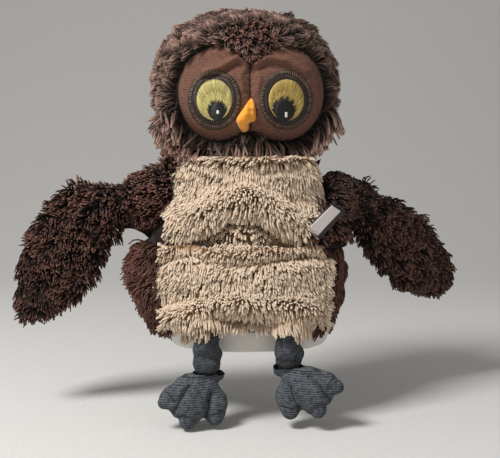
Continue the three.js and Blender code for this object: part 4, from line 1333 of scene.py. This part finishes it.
class OWL_OT_wings(bpy.types.Operator):
    """Wings: long stringy plush on flat stuffed forms, from the shoulder sleeve to the folding tip"""

    bl_idname = "owl.wings"
    bl_label = "Wings"

    def execute(self, context):
        tints = context.scene.owl_colours
        # Woven polyester backing, darkened to nearly black as painted shade between the strands
        backing = grainy_material("wing plush, woven backing", shade(tints.wing_root, 0.8))
        strands = wing_material()
        rng = np.random.default_rng(15)
        coat = coat_of("wing", density=0.46, lift=0.5, droop=0.2, curl=0.45, sides=3, clump=(0.55, 0.1, 4.5))
        for side, out in SIDES:
            shoulder, root = PIVOT[f"wing_{side}_sweep"], PIVOT[f"wing_{side}_flap"]
            bend = PIVOT[f"wing_{side}_fold"]
            low, high = node_box(f"wing_tip_front_{side}", f"wing_tip_back_{side}")
            inner = unit(bend - root)
            outer = unit((low + high) / 2 - bend)
            wing_nodes = [f"wing_{part}_{side}" for part in ("front", "back", "tip_front", "tip_back")]
            wing = soft_copy(f"wing_{side}_backing", wing_nodes, backing, voxel_mm=2.0, smoothing=8)

            def ridge(points):
                return bell(apart(points[:, 0], points[:, 2], WING_RIDGE), 7) * (points[:, 1] < 0) * (out < 0)

            thick = AXIS[f"wing_{side}_flap"]

            def rumpled(points, normals):
                edge = normals - thick * (normals @ thick)[:, None]
                bulge = 3.0 * ridge(points) + 1.2 * swell(points, 34, 16) - 1.4
                return normals * bulge[:, None] - 4.0 * edge

            def along(roots):
                past = np.clip((roots - bend) @ outer / 20 + 0.5, 0, 1)[:, None]
                middle = np.where(
                    past > 0.5,
                    bend + outer * ((roots - bend) @ outer)[:, None],
                    root + inner * ((roots - root) @ inner)[:, None],
                )
                flow = inner * (1 - past) + outer * past + 0.018 * (roots - middle)
                flow[:, 2] -= 0.4
                if out < 0:
                    above = roots[:, 2] - np.interp(roots[:, 0], *np.array(WING_RIDGE[::-1]).T)
                    flow[:, 2] += 0.9 * np.clip(above / 12, -0.6, 1) * bell(above, 26)
                flow[:, 0] += 0.5 * swell(roots, 24, 17)
                flow[:, 2] += 0.5 * swell(roots, 24, 18)
                return flow

            def uneven(roots):
                tip = ease(((roots - bend) @ outer - 30) / 45)
                lift = 0.68 - 0.26 * tip + 0.16 * swell(roots, 20, 19) + 0.2 * ridge(roots)
                return 1 + 0.15 * swell(roots, 17, 20), np.clip(lift, 0.25, 0.92)

            moved(wing, rumpled)
            grown = pile(f"wing_{side}_pile", rng, wing, strands, coat, along, None, uneven)
            for made in (wing, grown):
                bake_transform(made)
            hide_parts(*wing_nodes)
            self.sleeve(side, shoulder, unit(root - shoulder), rng, coat, backing, strands)
        return {"FINISHED"}

    def sleeve(self, side, shoulder, axis, rng, coat, backing, strands):
        """The tube of plush between the glove's armhole and the wing."""
        nodes = [f"wing_sleeve_{side}"]
        sleeve = soft_copy(f"wing_sleeve_{side}_backing", nodes, backing, voxel_mm=1.6, smoothing=6)

        def outside(places, normals):
            along = (places - shoulder) @ axis
            spoke = places - shoulder - axis * along[:, None]
            facing = np.sum(spoke * normals, axis=1) > 0
            radius, inner, outer = 11.3, -9.0, 20.0  # the tube's inside, and its ends along the sleeve
            return facing & ((np.linalg.norm(spoke, axis=1) > radius) | (along < inner)) & (along < outer)

        def outwards(roots):
            flow = np.broadcast_to(axis, roots.shape).copy()
            flow[:, 2] += 0.4 * swell(roots, 24, 21)
            return flow

        share, lift = (1.15, 0.6) if side == "right" else (0.75, 0.3)
        shag = {**coat, "length": coat["length"] * share, "lift": lift, "density": 0.5}
        cuff = pile(f"wing_sleeve_{side}_pile", rng, sleeve, strands, shag, outwards, outside)
        for made in (sleeve, cuff):
            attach(made, f"{side}_sleeve")
        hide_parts(f"wing_sleeve_{side}")


FOOT_TURN = {"left": (38.0, 62.0), "right": (27.0, 62.0)}  # degrees outwards and below level
TOE_GAPS = (((5.5, 22), (6.5, 31), (7, 44)), ((-11, 20), (-14, 28), (-16.5, 40)))  # across, towards the toes
TOE_SEAMS = (((10.5, 36), (19, 32.5)), ((-11, 41), (2, 43)), ((-25, 26), (-18.5, 33)))
ANKLE_SEAM = 5.2  # under the ankle's middle


class OWL_OT_legs(bpy.types.Operator):
    """Legs and feet: stuffed grey knit, gathered at the ankle, with three stitched toes"""

    bl_idname = "owl.legs"
    bl_label = "Legs and feet"

    def execute(self, context):
        tint = context.scene.owl_colours.knit
        # Heathered yarn in purl rows: dark and light grey flecks without gloss, finer on the legs and darker
        # there as painted shade
        rows = {"axis": "Z", "heather": 0.8, "sheen": 0.0}
        knit = ribbed_material("foot, heathered purl knit", tint, pitch_mm=1.6, depth_mm=0.8, **rows)
        leg_knit_shaded = ribbed_material("leg, heathered knit", shade(tint, 0.75), pitch_mm=1.3, depth_mm=0.7, **rows)
        # Sewing thread: nearly black lines sunk in the knit
        thread = thread_material("toe seams, dark thread", shade(tint, 0.1))
        rng = np.random.default_rng(16)
        for side, out in SIDES:
            leg = soft_copy(f"leg_{side}", [f"leg_{side}"], leg_knit_shaded, voxel_mm=0.9, smoothing=4)
            hip = PIVOT[f"leg_{side}_swing"]

            def wrinkled(points, normals):
                turn = np.arctan2(points[:, 0] - hip[0], points[:, 1] - hip[1])
                drop = hip[2] - points[:, 2]
                folds = np.sin(drop / 2.4 + 1.6 * np.sin(turn + out) + turn)
                folds += np.sin(drop / 4.2 - 2 * turn)
                return normals * (1.1 * folds * bell(drop - 13, 9) - 0.9)[:, None]

            moved(leg, wrinkled)
            foot_nodes = [f"foot_upper_{side}", f"foot_sole_{side}"]
            foot = soft_copy(f"foot_{side}", foot_nodes, knit, voxel_mm=0.8, smoothing=12)
            ankle, axes = PIVOT[f"foot_{side}_flex"], self.axes(side, out)

            def pinched(points, normals):
                across, along, top = ((points - ankle) @ axes.T).T
                gap = sum(bell(apart(across, along, path), 2.0) for path in TOE_GAPS)
                seam = sum(bell(apart(across, along, path), 1.2) for path in TOE_SEAMS)
                cuff = bell(points[:, 2] - ankle[2] + ANKLE_SEAM + 2, 2.5)
                in_out = normals * (-2.4 * gap * (top > -2) - 0.9 * seam * (top > -4) - 1.2 * cuff)[:, None]
                instep = (1 - ease((along - 3) / 24)) * ease((along + 4) / 8)
                wider = np.where(across > 0, -0.1, 0.28) * across * instep
                longer = 0.06 * np.maximum(along - 5, 0)
                longer = longer + 0.3 * np.maximum(across - 8, 0) * ease((along - 8) / 12)
                return in_out + wider[:, None] * axes[0] + longer[:, None] * axes[1]

            moved(foot, pinched)
            sewn = self.sewn(side, foot, ankle, axes, thread, rng)
            for made, body in ((leg, f"{side}_leg"), (foot, f"{side}_foot"), (sewn, f"{side}_foot")):
                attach(made, body)
            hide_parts(f"leg_{side}")
            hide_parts(f"foot_upper_{side}", f"foot_sole_{side}")
        return {"FINISHED"}

    def axes(self, side, out):
        """A foot's directions: outwards across it, towards its toes, and out of its top."""
        splay, droop = np.radians(FOOT_TURN[side])
        c, s = np.cos(splay), out * np.sin(splay)
        turned = np.array([[c, 0, -s], [0, 1, 0], [s, 0, c]])
        c, s = np.cos(droop), np.sin(droop)
        ways = np.array([[out, 0, 0], [0, -c, -s], [0, -s, c]])
        return ways @ turned.T

    def sewn(self, side, foot, ankle, axes, thread, rng):
        """Dark stitches in the gaps between the toes, across their tips and around the ankle."""
        points, _, triangles = arrays(foot)
        skin = bvhtree.BVHTree.FromPolygons(points.tolist(), triangles.tolist())
        stitch, longest, away = 1.6, 5.0, 40.0  # a stitch's length and its limit, and where the needle starts
        starts, ends = [], []
        for path in TOE_GAPS + TOE_SEAMS:
            for start, end in zip(np.array(path[:-1], float), np.array(path[1:], float)):
                count = max(2, round(np.linalg.norm(end - start) / stitch))
                steps = start + (end - start) * np.linspace(0, 1, count + 1)[:, None]
                places = [ankle + axes[0] * a + axes[1] * b + axes[2] * away for a, b in steps]
                hits = [skin.ray_cast(Vector(place), Vector(-axes[2]))[0] for place in places]
                for one, two in zip(hits[:-1], hits[1:]):
                    if one and two and (one - two).length < longest:
                        starts.append(one)
                        ends.append(two)
        for turn in whole_turn(40):
            spoke = [Vector((np.sin(turn + shift), -np.cos(turn + shift), 0)) for shift in (0, 0.11)]
            level = Vector(ankle) - Vector((0, 0, ANKLE_SEAM + 1.5))
            hits = [skin.ray_cast(level + way * away, -way)[0] for way in spoke]
            if all(hits):
                starts.append(hits[0])
                ends.append(hits[1])
        t = np.linspace(0, 1, 4)[:, None, None]
        paths = np.array(starts)[None] * (1 - t) + np.array(ends)[None] * t
        radius = np.full(len(starts), 0.5)
        tint = np.clip(rng.normal(0.4, 0.2, len(starts)), 0, 1)
        return tubes(f"foot_{side}_seams", paths, radius, (0.8, 1, 1, 0.8), 5, thread, tint)


class OWL_OT_lining(bpy.types.Operator):
    """Cotton lining: the turned hem, the glove's inside and the finger stalls"""

    bl_idname = "owl.lining"
    bl_label = "Lining"

    def execute(self, context):
        tint = context.scene.owl_colours.cotton
        # Plain cotton weave: off-white and matte, its threads drawn coarser than real ones, to show
        weave = {"pitch_mm": 0.8, "depth_mm": 0.08, "axis": "X", "heather": 0.05}
        cotton = ribbed_material("lining, plain cotton weave", tint, **weave)
        columns = 144
        turn = np.linspace(0, 360, columns, endpoint=False)
        wave = np.sin(np.radians(turn) * 7) + 0.6 * np.sin(np.radians(turn) * 11 + 1)
        roll = whole_turn(24)
        middle, half = HEM_TOP / 2, HEM_TOP / 2
        depth, thick = 8.3, 2.2  # the hem's middle under the CAD surface, and half its thickness
        rings = []
        for a in roll:
            z = middle + half * np.sign(np.sin(a)) * abs(math.sin(a)) ** 0.6 * np.ones(columns)
            inset = depth - thick * np.sign(np.cos(a)) * abs(math.cos(a)) ** 0.6
            rings.append(glove_points(turn, z, inset + 0.5 * wave * (z < middle)))
        points = np.concatenate(rings)
        hem = build("hem_band", points, [grid(columns, len(roll), ring=True, closed=True)], cotton)
        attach(hem, "glove")
        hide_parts("hem_band")

        rows = 49
        angle, z = np.meshgrid(turn, np.linspace(HEM_TOP - 2, BODY_TOP - 6, rows + 1))
        inset = LINING_INSET + 0.7 * np.sin(np.radians(angle) * 6 + z / 14)
        points = glove_points(angle, z, inset).reshape(-1, 3)
        sheet = build("glove_lining", points, [grid(columns, rows, ring=True)], cotton)
        cloth(sheet)
        thickened(sheet, COTTON_THICK)
        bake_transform(sheet)
        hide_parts("glove_lining", "lining_skirt")
        self.stalls(cotton)
        return {"FINISHED"}

    def stalls(self, cotton):
        """Finger stalls of the head and of both wings."""
        low, high = node_box("head_finger_stall")
        radius = (high[0] - low[0]) / 2
        dome, wall = 4.0, 1.3  # height of the rounded end, and the cloth's thickness
        rim = high[2] - dome
        outer = [(radius + 0.25 * math.sin(h / 5), h) for h in np.linspace(low[2], rim, 18)]
        cap = [(radius * math.cos(a), rim + dome * math.sin(a)) for a in (0.4, 0.8, 1.2, 1.5)]
        inner = [(r - wall, h - wall * (h > rim - 1)) for r, h in (outer + cap)[::-1] if r > 2]
        stall = lathe("head_finger_stall", outer + cap + inner, 40, cotton)
        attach(stall, "neck")
        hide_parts("head_finger_stall")
        for side, _ in SIDES:
            node = f"wing_finger_stall_{side}"
            stall = soft_copy(f"{node}_cloth", [node], cotton, voxel_mm=0.5, smoothing=2)
            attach(stall, f"{side}_sleeve")
            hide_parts(f"wing_finger_stall_{side}")


class OWL_OT_label(bpy.types.Operator):
    """Label: a folded satin loop with a blank paper sticker"""

    bl_idname = "owl.label"
    bl_label = "Label"

    def execute(self, context):
        tints = context.scene.owl_colours
        # Woven satin: dark with a soft gloss, its threads drawn coarser than real ones, to show
        weave = {"pitch_mm": 0.5, "depth_mm": 0.05, "axis": "X", "heather": 0.15}
        satin = ribbed_material("label, woven satin", tints.satin, **weave, roughness=0.4, sheen=0.1)
        # Uncoated paper: flat and pale, nearly without grain
        plain = {"grain_mm": 2.0, "depth_mm": 0.02, "spread": 0.03, "roughness": 0.6, "sheen": 0.0}
        paper = grainy_material("sticker, plain paper", tints.paper, **plain)
        low, high = node_box("sewn_label")
        seat, across = PIVOT["label_flip"], -AXIS["label_flip"]
        reach, thick = 15.0, 1.2  # half the loop's length and thickness
        twist = 0.25  # turn of the loop's end, in radians
        middle = (low + high) / 2 - seat
        along = unit(reach * middle - thick * np.cross(middle, across))
        top = np.cross(along, across)

        def laid(way, rise, wide):
            """Points of a strip by place along it, height and width; it curls up and twists to its end."""
            curl = 2.5 * (way / (2 * reach)) ** 2
            lean = twist * way / (2 * reach)
            place = seat + along * way[:, None, None] + top * (rise + curl)[:, None, None]
            side = across * np.cos(lean)[:, None] + top * np.sin(lean)[:, None]
            return place + side[:, None] * wide[None, :, None]

        bow = np.linspace(-np.pi / 2, np.pi / 2, 9)
        run, steps, columns = 2 * reach - 1, 24, 14  # straight stretch of the loop, and its grid
        under, over, half_width = 0.5, 1.9, 7.0  # heights of the loop's two layers
        way = np.concatenate([np.linspace(0, run, steps), run + np.cos(bow), np.linspace(run, 0, steps)])
        rise = np.concatenate([np.full(steps, under), thick + 0.7 * np.sin(bow), np.full(steps, over)])
        loop = laid(way, rise, np.linspace(-half_width, half_width, columns + 1)).reshape(-1, 3)
        ribbon = build("sewn_label_ribbon", loop, [grid(columns, len(way) - 1)], satin)
        rows, columns = 19, 11
        way, rise = np.linspace(2, 28, rows + 1), np.full(rows + 1, 2.35)
        patch = laid(way, rise, np.linspace(-3.2, 6.6, columns + 1)).reshape(-1, 3)
        sticker = build("label_sticker_paper", patch, [grid(columns, rows)], paper)
        cloth(ribbon)
        thickened(ribbon, SATIN_THICK)
        thickened(sticker, PAPER_THICK)
        for made, node, slot in (
            (ribbon, "sewn_label", "satin_dark"),
            (sticker, "label_sticker", "paper_blank"),
        ):
            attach(made, "label")
            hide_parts(node)
        return {"FINISHED"}


class OWL_OT_stage(bpy.types.Operator):
    """Camera, soft light and a pale fleece sweep"""

    bl_idname = "owl.stage"
    bl_label = "Stage"

    def execute(self, context):
        scene = context.scene
        scene.view_settings.view_transform = "Standard"
        target = Vector((1.5, -20, 90.75)) * MM
        distance, lift = 0.73, math.radians(5)
        camera = bpy.data.objects.new("camera", bpy.data.cameras.new("camera"))
        scene.collection.objects.link(camera)
        camera.data.lens = 70
        camera.data.sensor_width = 36
        camera.location = target + distance * Vector((0, -math.cos(lift), math.sin(lift)))
        camera.rotation_euler = (target - camera.location).to_track_quat("-Z", "Y").to_euler()
        scene.camera = camera
        # Brushed fleece: an even pale grey without gloss
        brushed = {"grain_mm": 3.0, "depth_mm": 0.5, "spread": 0.04, "roughness": 1.0, "sheen": 0.1}
        fleece = grainy_material("fleece, brushed pale", scene.owl_colours.fleece, **brushed)
        floor, front, wall, bend, side = CAD_BOX[0].z / MM - 3, -4000.0, 1700.0, 1000.0, 20000.0
        profile = [(front, floor)]
        for a in np.linspace(0, math.pi / 2 - 0.12, 14):
            profile.append((wall - bend + bend * math.sin(a), floor + bend - bend * math.cos(a)))
        last = profile[-1]
        profile.append((last[0] + 100, last[1] + 830))
        x = np.linspace(-side, side, 41)
        points = np.array([[px, y, z] for y, z in profile for px in x])
        sweep = build("fleece_sweep", points, [grid(40, len(profile) - 1)], fleece)
        for name, place, power, width in (
            ("key", (-0.65, -0.6, 1.05), 19.0, 0.4),
            ("fill", (0.8, -0.8, 0.5), 0.8, 0.9),
        ):
            lamp = bpy.data.objects.new(name, bpy.data.lights.new(name, "AREA"))
            lamp.data.energy = power
            lamp.data.size = width
            lamp.visible_camera = False
            lamp.location = place
            lamp.rotation_euler = (target - lamp.location).to_track_quat("-Z", "Y").to_euler()
            scene.collection.objects.link(lamp)
        world = bpy.data.worlds.new("studio")
        world.use_nodes = True
        sky = world.node_tree.nodes["Background"].inputs
        sky["Color"].default_value = (1, 1, 1, 1)
        sky["Strength"].default_value = 0.28
        scene.world = world
        return {"FINISHED"}


class OWL_PT_panel(bpy.types.Panel):
    """Lists the puppet's pieces in the sidebar"""

    bl_idname = "OWL_PT_panel"
    bl_label = "Owl hand puppet"
    bl_space_type = "VIEW_3D"
    bl_region_type = "UI"
    bl_category = "Owl"

    def draw(self, context):
        for operator in OPERATORS:
            self.layout.operator(operator.bl_idname)
        for group in (context.scene.owl_colours, context.scene.owl_pile, context.scene.owl_face):
            for key in group.bl_rna.properties.keys():
                if key not in {"rna_type", "name"}:
                    self.layout.prop(group, key)


GROUPS = {"owl_colours": OwlColours, "owl_pile": OwlPile, "owl_face": OwlFace}
OPERATORS = (
    OWL_OT_front,
    OWL_OT_back,
    OWL_OT_head,
    OWL_OT_face,
    OWL_OT_eyes,
    OWL_OT_beak,
    OWL_OT_wings,
    OWL_OT_legs,
    OWL_OT_lining,
    OWL_OT_label,
    OWL_OT_stage,
)


def register():
    """Adds the puppet's settings, operators and panel to Blender."""
    for name, group in GROUPS.items():
        bpy.utils.register_class(group)
        setattr(bpy.types.Scene, name, bpy.props.PointerProperty(type=group))
    for part in (*OPERATORS, OWL_PT_panel):
        bpy.utils.register_class(part)


def unregister():
    """Takes them out again."""
    for part in reversed((*OPERATORS, OWL_PT_panel)):
        bpy.utils.unregister_class(part)
    for name, group in GROUPS.items():
        delattr(bpy.types.Scene, name)
        bpy.utils.unregister_class(group)


def main():
    """Builds every piece and the stage."""
    register()
    for operator in OPERATORS:
        category, action = operator.bl_idname.split(".")
        getattr(getattr(bpy.ops, category), action)()


if __name__ == "__main__":
    main()
